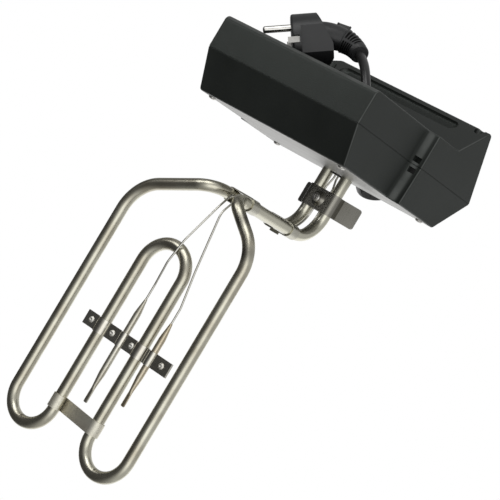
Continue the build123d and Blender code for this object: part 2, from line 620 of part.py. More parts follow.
def saddle_side(sign):
    """One side of the saddle's section: wing, flank and the bend under the tube."""
    inner = TUBE_R + FIT
    skin = inner + RIM_SHEET
    flank = EXIT_X + inner
    rise = (WING_RISE - FLANK_RISE) / (WING_SPAN - flank)
    lean = sqrt(1 + rise ** 2) * RIM_SHEET
    wing_low = WING_RISE - lean
    flank_low = FLANK_RISE - lean + rise
    outer = flank + RIM_SHEET
    eighth = cos(pi / 4)
    return [
        Line((sign * flank, FLANK_RISE), (sign * WING_SPAN, WING_RISE)),
        Line((sign * WING_SPAN, WING_RISE), (sign * WING_SPAN, wing_low)),
        Line((sign * WING_SPAN, wing_low), (sign * outer, flank_low)),
        Line((sign * outer, flank_low), (sign * outer, 0)),
        ThreePointArc(
            (sign * outer, 0), (sign * (EXIT_X + skin * eighth), -skin * eighth), (sign * EXIT_X, -skin)),
        Line((sign * flank, FLANK_RISE), (sign * flank, 0)),
        ThreePointArc(
            (sign * flank, 0), (sign * (EXIT_X + inner * eighth), -inner * eighth), (sign * EXIT_X, -inner))]


def rim_saddle():
    """Channel hugging both tubes from below, with a wing on each side and a domed screw seat."""
    inner = TUBE_R + FIT
    skin = inner + RIM_SHEET
    web_lines = [Line((-EXIT_X, -skin), (EXIT_X, -skin)), Line((-EXIT_X, -inner), (EXIT_X, -inner))]
    frame = Plane(origin=(0, RIM_Y - RIM_LENGTH / 2, EXIT_Z), x_dir=(1, 0, 0), z_dir=(0, -1, 0))
    section = make_face(saddle_side(1) + saddle_side(-1) + web_lines)
    sheet = extrude(frame * section, amount=-RIM_LENGTH)
    corners = [e for e in sheet.edges() if abs(e.center().X) > WING_SPAN - 0.1 and abs(e.tangent_at(0.5).Z) > 0.9]
    sheet = fillet(corners, WING_CORNER_R)
    ball = (DOME_D ** 2 / 4 + DOME_H ** 2) / (2 * DOME_H)
    web = EXIT_Z - skin
    dome = Pos(0, RIM_Y, web - DOME_H + ball) * Sphere(ball)
    dome &= block((-DOME_D, DOME_D), (RIM_Y - DOME_D, RIM_Y + DOME_D), (web - DOME_H, web))
    bore = rod((0, RIM_Y, web - 5), (0, RIM_Y, web + 5), RIM_SCREW_D + 2 * FIT)
    return sheet + dome - bore


def rim_bar():
    """Flat bar across the tops of the tubes that the screw pulls on."""
    low = EXIT_Z + TUBE_R
    reach = EXIT_X + TUBE_R
    bar = block((-reach, reach), (RIM_Y - RIM_LENGTH / 2, RIM_Y + RIM_LENGTH / 2), (low, low + RIM_BAR_T))
    return bar - rod((0, RIM_Y, low - 1), (0, RIM_Y, low + RIM_BAR_T + 1), RIM_SCREW_D)


dome_low = EXIT_Z - TUBE_R - FIT - RIM_SHEET - DOME_H
bar_top = EXIT_Z + TUBE_R + RIM_BAR_T
nodes["rim_saddle"] = rim_saddle()
nodes["rim_bar"] = rim_bar()
nodes["rim_screw"] = pan_screw((0, RIM_Y, dome_low), (0, RIM_Y, bar_top + 1.5), RIM_SCREW_D, 6.4, 1.4)


# Clips round both tubes of the neck

def neck_clip(z):
    """Band round both tubes, with a small bent tab at its lower edge."""
    low = z - CLIP_HEIGHT / 2
    bore = SlotCenterToCenter(EXIT_PITCH, TUBE_D + 2 * FIT)
    skin = SlotCenterToCenter(EXIT_PITCH, TUBE_D + 2 * FIT + 2 * SHEET)
    band = extrude(Plane(origin=(0, NECK_Y, low)) * (skin - bore), amount=CLIP_HEIGHT)
    front = NECK_Y - TUBE_R - FIT
    tab = block((-CLIP_TAB / 2, CLIP_TAB / 2), (front - 3 * SHEET, front - SHEET / 2), (low, low + SHEET))
    return band + tab


nodes["neck_clips"] = Part() + [neck_clip(z) for z in CLIP_ZS]


# Bulbs, their bracket and the strap near the loop ends

def bulb_bracket(upper):
    """One of the two pressed strips that close round two legs and both bulbs."""
    middle = (BRACKET_X[0] + BRACKET_X[1]) / 2
    length = BRACKET_X[1] - BRACKET_X[0]
    pressed = Pos(middle, 0) * Rectangle(length, FIT)
    for x in (LEFT_LEG, RIGHT_LEG):
        pressed += Pos(x, 0) * Circle(TUBE_R + FIT)
    for x in (CUTOUT_BULB_X, THERMOSTAT_BULB_X):
        pressed += Pos(x, 0) * Circle(BULB_D / 2 + FIT)
    skin = offset(pressed, amount=SHEET) - pressed
    half = Pos(middle, TUBE_D if upper else -TUBE_D) * Rectangle(length, 2 * TUBE_D)
    frame = Plane(origin=(0, BRACKET_Y - BRACKET_WIDTH / 2, LOOP_Z), x_dir=(1, 0, 0), z_dir=(0, -1, 0))
    strip = extrude(frame * (skin & half), amount=-BRACKET_WIDTH)
    for x in RIVET_XS:
        strip -= rod((x, BRACKET_Y, LOOP_Z - 3), (x, BRACKET_Y, LOOP_Z + 3), RIVET_D)
    return strip


def bracket_rivet(x):
    """Rivet through both strips, with a head on each side."""
    reach = FIT / 2 + SHEET
    rivet = rod((x, BRACKET_Y, LOOP_Z - reach), (x, BRACKET_Y, LOOP_Z + reach), RIVET_D)
    for sign in (-1, 1):
        seat = LOOP_Z + sign * reach
        rivet += rod((x, BRACKET_Y, seat), (x, BRACKET_Y, seat + sign * RIVET_HEAD_H), RIVET_HEAD_D)
    return rivet


def leg_strap():
    """Strip curled round both inner legs, over the right one and under the left one."""
    middle = TUBE_R + FIT + SHEET / 2
    lean = degrees(asin(2 * middle / LEG_PITCH))

    def curl(centre, start, turn):
        angles = [radians(start + turn * k) for k in (0, 0.5, 1)]
        return [(centre + middle * cos(a), middle * sin(a)) for a in angles]

    right = curl(RIGHT_LEG, 90 + lean, -265)
    left = curl(LEFT_LEG, -90 + lean, -205)
    face = trace([ThreePointArc(*right), Line(right[0], left[0]), ThreePointArc(*left)], SHEET)
    frame = Plane(origin=(0, STRAP_Y - STRAP_WIDTH / 2, LOOP_Z), x_dir=(1, 0, 0), z_dir=(0, -1, 0))
    return extrude(frame * face, amount=-STRAP_WIDTH)


def sensing_bulb(x, tip, length):
    """A drawn bulb: conical nose for the capillary, plain body and a flattened, sealed tail."""
    y = PLATE_Y - tip
    r = BULB_D / 2
    plain = length - BULB_TAIL
    outline = Polyline(
        (0, 0), (CAPILLARY_D / 2 + 0.3, 0), (r, -BULB_NOSE), (r, -plain), (0, -plain), close=True)
    frame = Plane(origin=(x, y, LOOP_Z), x_dir=(1, 0, 0), z_dir=(0, 0, 1))
    body = revolve(frame * make_face(outline), axis=Axis((x, y, LOOP_Z), (0, 1, 0)))
    start = y - plain
    pinch = start - BULB_CRIMP
    throat = Plane(origin=(x, start, LOOP_Z), x_dir=(1, 0, 0), z_dir=(0, -1, 0)) * Rectangle(1.4 * r, 1.4 * r)
    flat = Plane(origin=(x, pinch, LOOP_Z), x_dir=(1, 0, 0), z_dir=(0, -1, 0)) * Rectangle(CRIMP_WIDTH, CRIMP_T)
    tail = block((x - CRIMP_WIDTH / 2, x + CRIMP_WIDTH / 2), (y - length, pinch),
                 (LOOP_Z - CRIMP_T / 2, LOOP_Z + CRIMP_T / 2))
    return body + loft([throat, flat]) + tail


nodes["bulb_bracket_lower"] = bulb_bracket(False)
nodes["bulb_bracket_upper"] = bulb_bracket(True)
nodes["bracket_rivets"] = Part() + [bracket_rivet(x) for x in RIVET_XS]
nodes["leg_strap"] = leg_strap()
nodes["cutout_bulb"] = sensing_bulb(CUTOUT_BULB_X, CUTOUT_TIP, CUTOUT_BULB_LENGTH)
nodes["thermostat_bulb"] = sensing_bulb(THERMOSTAT_BULB_X, THERMOSTAT_TIP, THERMOSTAT_BULB_LENGTH)


# Controls on the slanted panel

def on_panel(x, low, high, diameter):
    """A round piece square to the panel, between two heights above it."""
    return extrude(PANEL * Pos(x, 0, low) * Circle(diameter / 2), amount=high - low)


def panel_top(piece):
    """The face of a piece that stands furthest out of the panel."""
    return piece.faces().sort_by(lambda f: (f.center() - PANEL.origin).dot(PANEL.z_dir))[-1]


def control_knob():
    """Tapered knob with finger flutes, a bore for the shaft and a pointer groove."""
    height = KNOB_HIGH - KNOB_LOW
    taper = degrees(atan2(KNOB_R - KNOB_TOP_R, height))
    knob = extrude(PANEL * Pos(KNOB_X, 0, KNOB_LOW) * Circle(KNOB_R), amount=height, taper=taper)
    knob = fillet(panel_top(knob).edges(), 1.5)
    for k in range(KNOB_FLUTES):
        a = 2 * pi * (k + 0.5) / KNOB_FLUTES
        out = KNOB_R + 0.6
        mark = PANEL * Pos(KNOB_X + out * cos(a), out * sin(a), KNOB_LOW - 1) * Circle(FLUTE_R)
        knob -= extrude(mark, amount=height + 2)
    knob -= on_panel(KNOB_X, KNOB_LOW - 1, SHAFT_TOP, SHAFT_D)
    groove = PANEL * Pos(KNOB_X, KNOB_R * 0.6, KNOB_HIGH - 0.8) * Rectangle(1.6, KNOB_R / 2)
    return knob - extrude(groove, amount=2)


def control_body(x, size, deep, can):
    """A control with its diaphragm can and two spade tabs, seated on the inside of the panel."""
    shelf = deep - CAN_H
    case = extrude(PANEL * Pos(x, 0, -WALL) * RectangleRounded(*size, 2.5), amount=WALL - shelf)
    case += on_panel(x, -deep, -shelf, can)
    for sign in (-1, 1):
        spade = PANEL * Pos(x + sign * (size[0] / 2 - 3), 0, -shelf) * Rectangle(TAB_T, TAB_WIDTH)
        case += extrude(spade, amount=-SPADE_LENGTH)
    return case


def panel_lamp(x):
    """Domed lens in the panel with its lamp body behind."""
    lens = on_panel(x, -WALL, LAMP_HIGH, LAMP_D)
    return fillet(panel_top(lens).edges(), 1.2) + on_panel(x, -LAMP_DEEP, -WALL, LAMP_BODY_D)


thermostat = control_body(KNOB_X, THERMOSTAT_SIZE, THERMOSTAT_DEEP, THERMOSTAT_CAN_D)
nodes["thermostat_body"] = thermostat - on_panel(KNOB_X, -SHAFT_DEEP - 0.2, 1, SHAFT_D + 2 * SLIP)
nodes["thermostat_shaft"] = on_panel(KNOB_X, -SHAFT_DEEP, SHAFT_TOP, SHAFT_D)
nodes["control_knob"] = control_knob()
cutout = control_body(RESET_X, CUTOUT_SIZE, CUTOUT_DEEP, CUTOUT_CAN_D)
nodes["cutout_body"] = cutout - on_panel(RESET_X, -STEM_DEEP - 4.5, 1, STEM_D + 2 * SLIP)
button = on_panel(RESET_X, BUTTON_LOW, BUTTON_HIGH, BUTTON_D)
nodes["reset_button"] = button + on_panel(RESET_X, -STEM_DEEP, BUTTON_LOW + 0.2, STEM_D)
for name, x in LAMP_XS.items():
    nodes[name] = panel_lamp(x)


# Interlock: a plunger over the slot under the left shoulder, and the switch above it

def interlock_plunger():
    """Square pin through the shoulder with a flange that stops it from falling out."""
    half = INTERLOCK_SIDE / 2
    pin = block((INTERLOCK_X - half, INTERLOCK_X + half), (INTERLOCK_Y - half, INTERLOCK_Y + half),
                (SHOULDER_Z - PLUNGER_PROUD, INNER_SHOULDER + PLUNGER_TOP))
    flange = block((INTERLOCK_X - half, INTERLOCK_X + half + 1), (INTERLOCK_Y - half - 1, INTERLOCK_Y + half + 1),
                   (INNER_SHOULDER + GAP, INNER_SHOULDER + 1.4))
    return pin + flange


def interlock_switch():
    """Small snap switch on the pad inside the left wall."""
    left = -UPPER_HALF + SWITCH_IN
    back = PART_Y + 3
    wide, deep, high = SWITCH_SIZE
    case = block((left, left + wide), (back - deep, back), (SWITCH_LOW, SWITCH_LOW + high))
    for y in (PART_Y - 12, PART_Y - 2):
        case -= rod((left - 5, y, SWITCH_LOW + 3), (left + wide + 5, y, SWITCH_LOW + 3), 3.0)
    return case


def terminal_block():
    """Three-pole block on the pocket's ceiling, with screw wells and wire ways."""
    low = POCKET_HIGH + TUB_WALL
    wide, deep, high = BLOCK_SIZE
    body = block((BLOCK_X, BLOCK_X + wide), (BLOCK_Y, BLOCK_Y + deep), (low, low + high))
    middle_y = BLOCK_Y + deep / 2
    for k in (-1, 0, 1):
        x = BLOCK_X + wide / 2 + k * POLE_PITCH
        body -= rod((x, middle_y, low + 4), (x, middle_y, low + high + 2), 5.0)
        body -= rod((x, BLOCK_Y - 3, low + 5), (x, BLOCK_Y + deep + 3, low + 5), 3.4)
    return body


nodes["interlock_plunger"] = interlock_plunger()
nodes["interlock_switch"] = interlock_switch()
nodes["terminal_block"] = terminal_block()


# Capillaries: from each control, out between the tubes, down the neck and along to the bulb

def capillary(label, sign, control_x, deep, outside, radii):
    """One capillary from its control's can to its bulb's nose."""
    can = PANEL.origin + PANEL.x_dir * control_x - PANEL.z_dir * deep
    away = can - PANEL.z_dir * 9
    inside = [tuple(can), tuple(away), (sign * PAIR_X, away.Y - 1, EXIT_Z), (sign * PAIR_X, PLATE_Y - 4, EXIT_Z)]
    neck = [(sign * SIDE_X, PLATE_Y - 11, EXIT_Z), (sign * SIDE_X, NECK_Y, EXIT_Z), (sign * SIDE_X, NECK_Y, 20)]
    line = rounded_path(inside + neck + outside, [3.5, 5, 6, 6, NECK_BEND_R] + radii)
    return swept_tube(label, line, CAPILLARY_D)


def capillary_grommet():
    """Flanged bush that leads both capillaries through the plate."""
    bush = rod((0, PLATE_Y - 1, EXIT_Z), (0, PLATE_Y + PLATE_T, EXIT_Z), GROMMET_D)
    bush += rod((0, PLATE_Y - 1, EXIT_Z), (0, PLATE_Y, EXIT_Z), GROMMET_D + 2 * GROMMET_RIM)
    for sign in (-1, 1):
        bush -= rod((sign * PAIR_X, PLATE_Y - 5, EXIT_Z), (sign * PAIR_X, PLATE_Y + 5, EXIT_Z), CAPILLARY_D)
    return bush


under_loop = LOOP_Z - TUBE_R - CAPILLARY_D / 2 - GAP
cutout_out = [
    (-1.0, NECK_Y - 12, 9), (2.5, INNER_BEND_Y + 26, under_loop), (5.5, INNER_BEND_Y + 8, under_loop),
    (CUTOUT_BULB_X, INNER_BEND_Y - 10, LOOP_Z), (CUTOUT_BULB_X, PLATE_Y - CUTOUT_TIP, LOOP_Z)]
thermostat_out = [
    (-6.5, NECK_Y - 14, 8), (-14.5, INNER_BEND_Y + 12, LOOP_Z),
    (THERMOSTAT_BULB_X, INNER_BEND_Y - 14, LOOP_Z), (THERMOSTAT_BULB_X, PLATE_Y - THERMOSTAT_TIP, LOOP_Z)]
nodes["cutout_capillary"] = capillary(
    "cutout capillary", 1, RESET_X, CUTOUT_DEEP, cutout_out, [8, 12, 12, 12, 6])
nodes["thermostat_capillary"] = capillary(
    "thermostat capillary", -1, KNOB_X, THERMOSTAT_DEEP, thermostat_out, [8, 12, 12, 12])
nodes["capillary_grommet"] = capillary_grommet()


# Mains lead: gland in the pocket's ceiling, coil, tie, plug and free run

def cord_gland():
    """Flanged gland with a tapered sleeve."""
    flange_low = POCKET_HIGH - GLAND_FLANGE_T
    outline = Polyline(
        (0, POCKET_HIGH + 3.5), (GLAND_NECK_D / 2, POCKET_HIGH + 3.5), (GLAND_NECK_D / 2, POCKET_HIGH),
        (GLAND_FLANGE_D / 2, POCKET_HIGH), (GLAND_FLANGE_D / 2, flange_low), (GLAND_FLANGE_D / 2 - 0.2, flange_low),
        (CORD_D / 2 + 0.4, GLAND_END_Z), (0, GLAND_END_Z), close=True)
    frame = Plane(origin=(GLAND_X, CORD_BACK_Y, 0), x_dir=(1, 0, 0), z_dir=(0, -1, 0))
    return revolve(frame * make_face(outline), axis=Axis((GLAND_X, CORD_BACK_Y, 0), (0, 0, 1)))


def coil_point(turn):
    """Centre line of the coil: in along the back layer, out along the front one."""
    radius = COIL_R + COIL_PITCH * sqrt((turn - COIL_TURNS) ** 2 + 0.01)
    climb = min(max((turn - COIL_TURNS + 0.25) / 0.5, 0), 1)
    climb = climb * climb * (3 - 2 * climb)
    angle = pi + 2 * pi * turn
    return Vector(COIL_X + radius * cos(angle), CORD_BACK_Y + COIL_PITCH * climb, COIL_Z + radius * sin(angle))


def arc_from(start, tangent, end):
    """The arc that leaves a point along a tangent and ends at another point."""
    chord = end - start
    along = chord.normalized()
    across = tangent - along * tangent.dot(along)
    middle = (start + end) / 2
    if across.length < 1e-6:
        return Line(start, end)
    half = atan2(across.length, tangent.dot(along)) / 2
    return ThreePointArc(start, middle + across.normalized() * (chord.length / 2 * tan(half)), end)


def biarc(p0, t0, p1, t1):
    """Two arcs that join two points and match the tangent at each."""
    v = p1 - p0
    t = t0 + t1
    a = 2 * (1 - t0.dot(t1))
    b = 2 * v.dot(t)
    c = v.dot(v)
    d = c / b if a < 1e-9 else (sqrt(b * b + 4 * a * c) - b) / (2 * a)
    joint = (p0 + t0 * d + p1 - t1 * d) / 2
    return [arc_from(p0, t0, joint), arc_from(p1, t1 * -1, joint)]


def coil_path():
    """The coil as one line of arcs, from the gland's end to where the lead runs free."""
    turns = [COIL_STEP * k for k in range(int(2 * COIL_TURNS / COIL_STEP) + 1)]
    points = [coil_point(t) for t in turns]
    ways = [(coil_point(t + 1e-4) - coil_point(t - 1e-4)).normalized() for t in turns]
    points[0] = Vector(GLAND_X, CORD_BACK_Y, COIL_Z)
    points[-1] = coil_end
    ways[0] = ways[-1] = Vector(0, 0, -1)
    edges = [Line((GLAND_X, CORD_BACK_Y, GLAND_END_Z), points[0])]
    for k in range(len(turns) - 1):
        edges += biarc(points[k], ways[k], points[k + 1], ways[k + 1])
    return Wire(edges)


def closest_turns(line, count, apart):
    """Least distance between points of a line that lie some way apart along it."""
    places = [line @ (k / count) for k in range(count + 1)]
    skip = int(apart / line.length * count)
    return min((places[i] - places[j]).length for i in range(count + 1) for j in range(i + skip, count + 1))


def cord_tie():
    """Flat band round the coil's right-hand side."""
    left = COIL_X + COIL_R + COIL_PITCH * 0.1 - CORD_D / 2 - 0.6
    right = COIL_X + COIL_R + COIL_PITCH * 2.01 + CORD_D / 2 + 0.6
    wide = right - left
    deep = COIL_PITCH + CORD_D + 0.7
    middle = (CORD_BACK_Y + CORD_FRONT_Y) / 2
    frame = Plane(origin=((left + right) / 2, middle, COIL_Z - TIE_WIDTH / 2))
    skin = RectangleRounded(wide + 2 * TIE_T, deep + 2 * TIE_T, 2.5 + TIE_T)
    return extrude(frame * (skin - RectangleRounded(wide, deep, 2.5)), amount=TIE_WIDTH)


coil_end = Vector(GLAND_X, CORD_FRONT_Y, COIL_Z + COIL_RISE)
coil_line = coil_path()
nodes["cord_gland"] = cord_gland()
nodes["cord_coil"] = swept_tube("coil", coil_line, CORD_D)
print("coil: gap between turns %.2f mm" % (closest_turns(coil_line, 600, 40) - CORD_D))
nodes["cord_tie"] = cord_tie()

# The plug is drawn about its own axes: X across the pair of pins, Z along them from the face


def tail_section(share):
    """Plane across the plug's tail, from its root at 0 to the lead at 1."""
    end = PLUG.to_local_coords(Vector(*FREE_POINTS[-1]))
    before = PLUG.to_local_coords(Vector(*FREE_POINTS[-2]))
    way = (before - end).normalized()
    root = Vector(TAIL_OFF, 0, -TAIL_IN)
    line = Bezier(root, root - Vector(0, 0, 18), end - way * 12, end)
    return Plane(origin=line @ share, z_dir=line % share)


def plug_body():
    """Round angled plug: slanted back, grip flats, earth clip notches and a bent, ringed tail."""
    core = Pos(0, 0, -PLUG_LONG / 2) * Cylinder(PLUG_R, PLUG_LONG)
    core = fillet(core.edges().sort_by(Axis.Z)[-1], 1.5)
    side = PLUG_R + 1
    outline = Polyline(
        (-side, 1), (side, 1), (side, -PLUG_SHORT), (-4, -PLUG_LONG), (-14, -PLUG_LONG),
        (-side, 4 - PLUG_LONG), close=True)
    core &= extrude(Plane.XZ * make_face(outline), amount=side, both=True)
    tail = loft([tail_section(k / 4) * Circle(r) for k, r in enumerate(TAIL_RADII)])
    for share in RING_SPOTS:
        spot = share * 4
        radius = TAIL_RADII[int(spot)] + (TAIL_RADII[int(spot) + 1] - TAIL_RADII[int(spot)]) * (spot - int(spot))
        ring = Circle(radius + 3) - Circle(radius - RING_DEPTH)
        tail -= extrude(tail_section(share) * ring, amount=RING_WIDTH / 2, both=True)
    body = core
    for sign in (-1, 1):
        flat = sorted((sign * GRIP_FLAT, sign * 2 * side))
        notch = sorted((sign * (CLIP_AXIS - 1.2), sign * 2 * side))
        guide = sorted((sign * (PLUG_R - 2), sign * 2 * side))
        body -= block((-side, side), flat, (-2 * PLUG_LONG, -GRIP_START))
        body -= block((-NOTCH_WIDTH / 2, NOTCH_WIDTH / 2), notch, (-NOTCH_DEEP, 1))
        body -= block(guide, (-NOTCH_WIDTH / 2, NOTCH_WIDTH / 2), (-GUIDE_DEEP, 1))
    return PLUG * (body + tail)


def plug_pin(sign):
    """Round pin with a rounded end."""
    pin = Pos(sign * PIN_PITCH / 2, 0, PIN_LENGTH / 2) * Cylinder(PIN_D / 2, PIN_LENGTH)
    return PLUG * fillet(pin.edges().sort_by(Axis.Z)[-1], 1.6)


def earth_clip(sign):
    """Flat spring in its notch at the rim of the plug."""
    thick = (sign * CLIP_AXIS - CLIP_T / 2, sign * CLIP_AXIS + CLIP_T / 2)
    return PLUG * block((-CLIP_WIDTH / 2, CLIP_WIDTH / 2), thick, (-NOTCH_DEEP, 3))


nodes["plug_body"] = plug_body()
nodes["plug_pins"] = Part() + [plug_pin(sign) for sign in (-1, 1)]
nodes["plug_earth_clips"] = Part() + [earth_clip(sign) for sign in (-1, 1)]

# Free run of the lead, from the coil out of the pocket to the plug's tail
cord_points = [coil_end, coil_end - Vector(0, 0, FREE_START)] + [Vector(*p) for p in FREE_POINTS]
cord_runs = [after - before for before, after in zip(cord_points, cord_points[1:])]
cord_radii = []
for before, after in zip(cord_runs, cord_runs[1:]):
    half_turn = radians(before.get_angle(after)) / 2
    cord_radii.append(0.45 * min(before.length, after.length) / tan(half_turn))
nodes["mains_cord"] = swept_tube("cord", rounded_path([tuple(p) for p in cord_points], cord_radii), CORD_D)
print("cord: runs", [round(run.length, 1) for run in cord_runs])
print("cord: radii", [round(r, 1) for r in cord_radii])
print("cord: points", [tuple(round(c, 2) for c in p) for p in cord_points])

os.makedirs("parts", exist_ok=True)
for name, piece in nodes.items():
    export_step(piece, "parts/%s.step" % name)
    box = piece.bounding_box()
    print("%-22s solids %d volume %9.1f valid %s  X %.1f..%.1f Y %.1f..%.1f Z %.1f..%.1f" % (
        name, len(piece.solids()), piece.volume, piece.is_valid,
        box.min.X, box.max.X, box.min.Y, box.max.Y, box.min.Z, box.max.Z))
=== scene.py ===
"""Looks of a deep fryer's lift-out heating head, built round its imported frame.

Metres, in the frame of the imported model: +Z up as the head hangs on its fryer, -Y out over the tank.
"""

from math import cos, pi, radians, sin, sqrt

import bmesh
import bpy
from bpy.props import FloatProperty, FloatVectorProperty, IntProperty, PointerProperty
from mathutils import Matrix, Vector
from mathutils.geometry import interpolate_bezier


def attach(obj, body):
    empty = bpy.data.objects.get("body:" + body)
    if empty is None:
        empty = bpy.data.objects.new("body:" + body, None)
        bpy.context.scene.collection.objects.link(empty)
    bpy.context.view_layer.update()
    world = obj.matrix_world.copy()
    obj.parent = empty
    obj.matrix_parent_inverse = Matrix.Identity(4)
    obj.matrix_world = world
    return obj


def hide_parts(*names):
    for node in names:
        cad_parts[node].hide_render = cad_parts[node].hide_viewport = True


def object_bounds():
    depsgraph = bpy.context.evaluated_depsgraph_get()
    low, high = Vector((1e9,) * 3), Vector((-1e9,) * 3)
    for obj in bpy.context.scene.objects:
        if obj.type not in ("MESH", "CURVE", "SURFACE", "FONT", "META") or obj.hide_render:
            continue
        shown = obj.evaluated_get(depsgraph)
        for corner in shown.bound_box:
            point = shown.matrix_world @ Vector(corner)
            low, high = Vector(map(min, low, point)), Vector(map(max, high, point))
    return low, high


bl_info = {
    "name": "Fryer heating head",
    "version": (1, 0, 0),
    "blender": (4, 5, 0),
    "location": "View3D > Sidebar > Fryer head",
    "description": "Dresses the packed frame of a lift-out fryer heating head",
    "category": "Object",
}

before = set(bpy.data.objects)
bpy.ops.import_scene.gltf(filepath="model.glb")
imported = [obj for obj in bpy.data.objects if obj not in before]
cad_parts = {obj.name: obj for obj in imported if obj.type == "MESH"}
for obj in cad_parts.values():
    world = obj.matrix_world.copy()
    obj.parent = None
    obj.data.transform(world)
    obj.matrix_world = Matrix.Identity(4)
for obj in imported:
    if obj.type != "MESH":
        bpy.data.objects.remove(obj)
CAD_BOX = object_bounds()
MM = 0.001


def mm(x, y, z):
    """A place given in millimetres."""
    return Vector((x, y, z)) * MM


# The immersion tube in millimetres: exits, neck, splay, and legs one pitch apart from the +X side
EXIT_X = 8.85
START_Y = -28.5
NECK_Y = -91.8
SPLAY_Y = -118.1
INNER_Y = -140.1
TIP_Y = -294.7
EXIT_Z = 106.8
LOOP_Z = 6.2
LEG_PITCH = 38.6
LEG_XS = [67.9 - LEG_PITCH * k for k in range(4)]
EXIT_BEND = 20.0
FOOT_BEND = 14.0
SPLAY_BEND = 30.0
LEG_BEND = 19.25
EXIT_CORNERS = [(START_Y, EXIT_Z, 0.0), (NECK_Y, EXIT_Z, EXIT_BEND), (NECK_Y, LOOP_Z, FOOT_BEND)]
LEG_ENDS = ((0, TIP_Y), (1, TIP_Y), (1, INNER_Y), (2, INNER_Y), (2, TIP_Y), (3, TIP_Y))

# Corners of the tube's route with the radius of each bend, and the dark ends of two bends
TUBE_CORNERS = [
    *[(EXIT_X, *corner) for corner in EXIT_CORNERS],
    (LEG_XS[0], SPLAY_Y, LOOP_Z, SPLAY_BEND),
    *[(LEG_XS[leg], y, LOOP_Z, LEG_BEND) for leg, y in LEG_ENDS],
    (LEG_XS[3], SPLAY_Y, LOOP_Z, SPLAY_BEND),
    *[(-EXIT_X, *corner) for corner in reversed(EXIT_CORNERS)]]
BEND_MARKS = [mm(-27.0, -104.0, LOOP_Z), mm(-43.0, -121.0, LOOP_Z)]

# Screws and rivets: place of the seat and the way that the head faces, in millimetres
PLATE_Y = -40.5
BRACKET_Y = -211.7
STRIP_THICK = 0.85
PLATE_SCREWS = [((x, PLATE_Y, z), (0, -1, 0)) for x, z in ((-62, 21), (62, 21), (-70, 119), (70, 119))]
RAMP_SCREWS = [((-70.4, 28.01, 126.95), (0, 1, 0)), ((64.0, 20.17, 119.11), (0, 1, 0))]
POCKET_SCREWS = [((x, -21.5, 20.0), (0, 1, 0)) for x in (-56, 56)]
RIM_SCREW = [((0.0, -61.8, 98.85), (0, 0, -1))]
RIVETS = [((x, BRACKET_Y, LOOP_Z + side * STRIP_THICK), (0, 0, side))
          for x in (-31.0, -1.0, 18.5, 40.0) for side in (-1, 1)]

# Turned shapes: a pan head in shares of its width and height, a rivet in millimetres, and a turn of thread,
# root and crest, in shares of the shank's radius and millimetres
PAN_HEAD = ((0.0, 1.0), (0.22, 0.98), (0.38, 0.82), (0.48, 0.5), (0.5, 0.2), (0.49, 0.0))
THREAD_PITCH = 0.9
THREAD_TURN = ((0.86, -0.3), (1.0, -0.7))
RIVET = ((0, 0.6), (0.4, 0.62), (0.7, 0.9), (0.95, 1.0), (1.3, 0.93), (1.7, 0.72), (2.05, 0.42), (2.3, 0.08),
         (2.3, 0), (1.3, 0), (1.3, -STRIP_THICK), (0, -STRIP_THICK))

# Sensing bulbs in millimetres: tip and length, and sections as distance, half width and half height,
# the nose's from the tip and the tail's from the other end
CUTOUT_TIP = mm(9.0, -180.4, LOOP_Z)
CUTOUT_LENGTH = 79.5
THERMOSTAT_TIP = mm(-19.8, -184.9, LOOP_Z)
THERMOSTAT_LENGTH = 63.0
BULB_NOSE = [(0.0, 0.9, 0.9), (1.0, 1.05, 1.05), (9.0, 2.1, 2.1), (12.0, 2.4, 2.4)]
BULB_TAIL = ((-27.0, 2.4, 2.4), (-22.0, 2.3, 2.3), (-13.0, 1.5, 1.5), (-10.5, 1.45, 1.1), (-9.0, 1.7, 0.6),
             (-0.6, 1.75, 0.55), (0.0, 1.3, 0.3))

# The slanted control panel: its middle, its up-slope direction and its outward normal; its knob and dial
PANEL_MIDDLE = mm(0.0, -26.5, 139.0)
PANEL_UP = Vector((0.0, 28.0, 24.0)).normalized()
PANEL_OUT = Vector((0.0, -24.0, 28.0)).normalized()
KNOB_X = -7.0 * MM
KNOB_TOP = 11.0 * MM
POINTER_OUT = 9.4 * MM
POINTER_SIZE = mm(1.5, 7.6, 0.5)
TICK_REACH = 17.3 * MM
TICK_WIDTH = 0.7 * MM
TICK_THICK = 0.12 * MM
DIAL_SWEEP = radians(250.0)

# The box's leaning back and its finger scoop, and the ways that its edges face; for the painted edge
# highlights, the back faces 45 degrees
RAMP_FOOT = mm(0.0, 12.5, 105.0)
RAMP_UP = Vector((0.0, 25.1, 25.0)).normalized()
RAMP_OUT = Vector((0.0, 25.0, -25.1)).normalized()
SCOOP_MIDDLE = RAMP_FOOT + RAMP_UP * 22.5 * MM
SCOOP_LENGTH = 112.0 * MM
SCOOP_WIDTH = 10.5 * MM
SCOOP_DISH = 3.2 * MM
SCOOP_RIM = 0.25 * MM
SCOOP_GAP = 0.02 * MM
SCOOP_UNDERSIDE = 5.5 * MM
END_OUT = Vector((1.0, 0.0, 0.0))
FOOT_OUT = Vector((0.0, 0.0, -1.0))
RAMP_WAY = Vector((0.0, 1.0, -1.0)).normalized()
CHIN_OUT = Vector((0.0, -0.42, -0.91)).normalized()
END_EDGES = [(END_OUT + way).normalized() for way in (FOOT_OUT, RAMP_WAY, CHIN_OUT)]
FOOT_EDGE = RAMP_WAY
FOOT_HEIGHT = 30.0 * MM

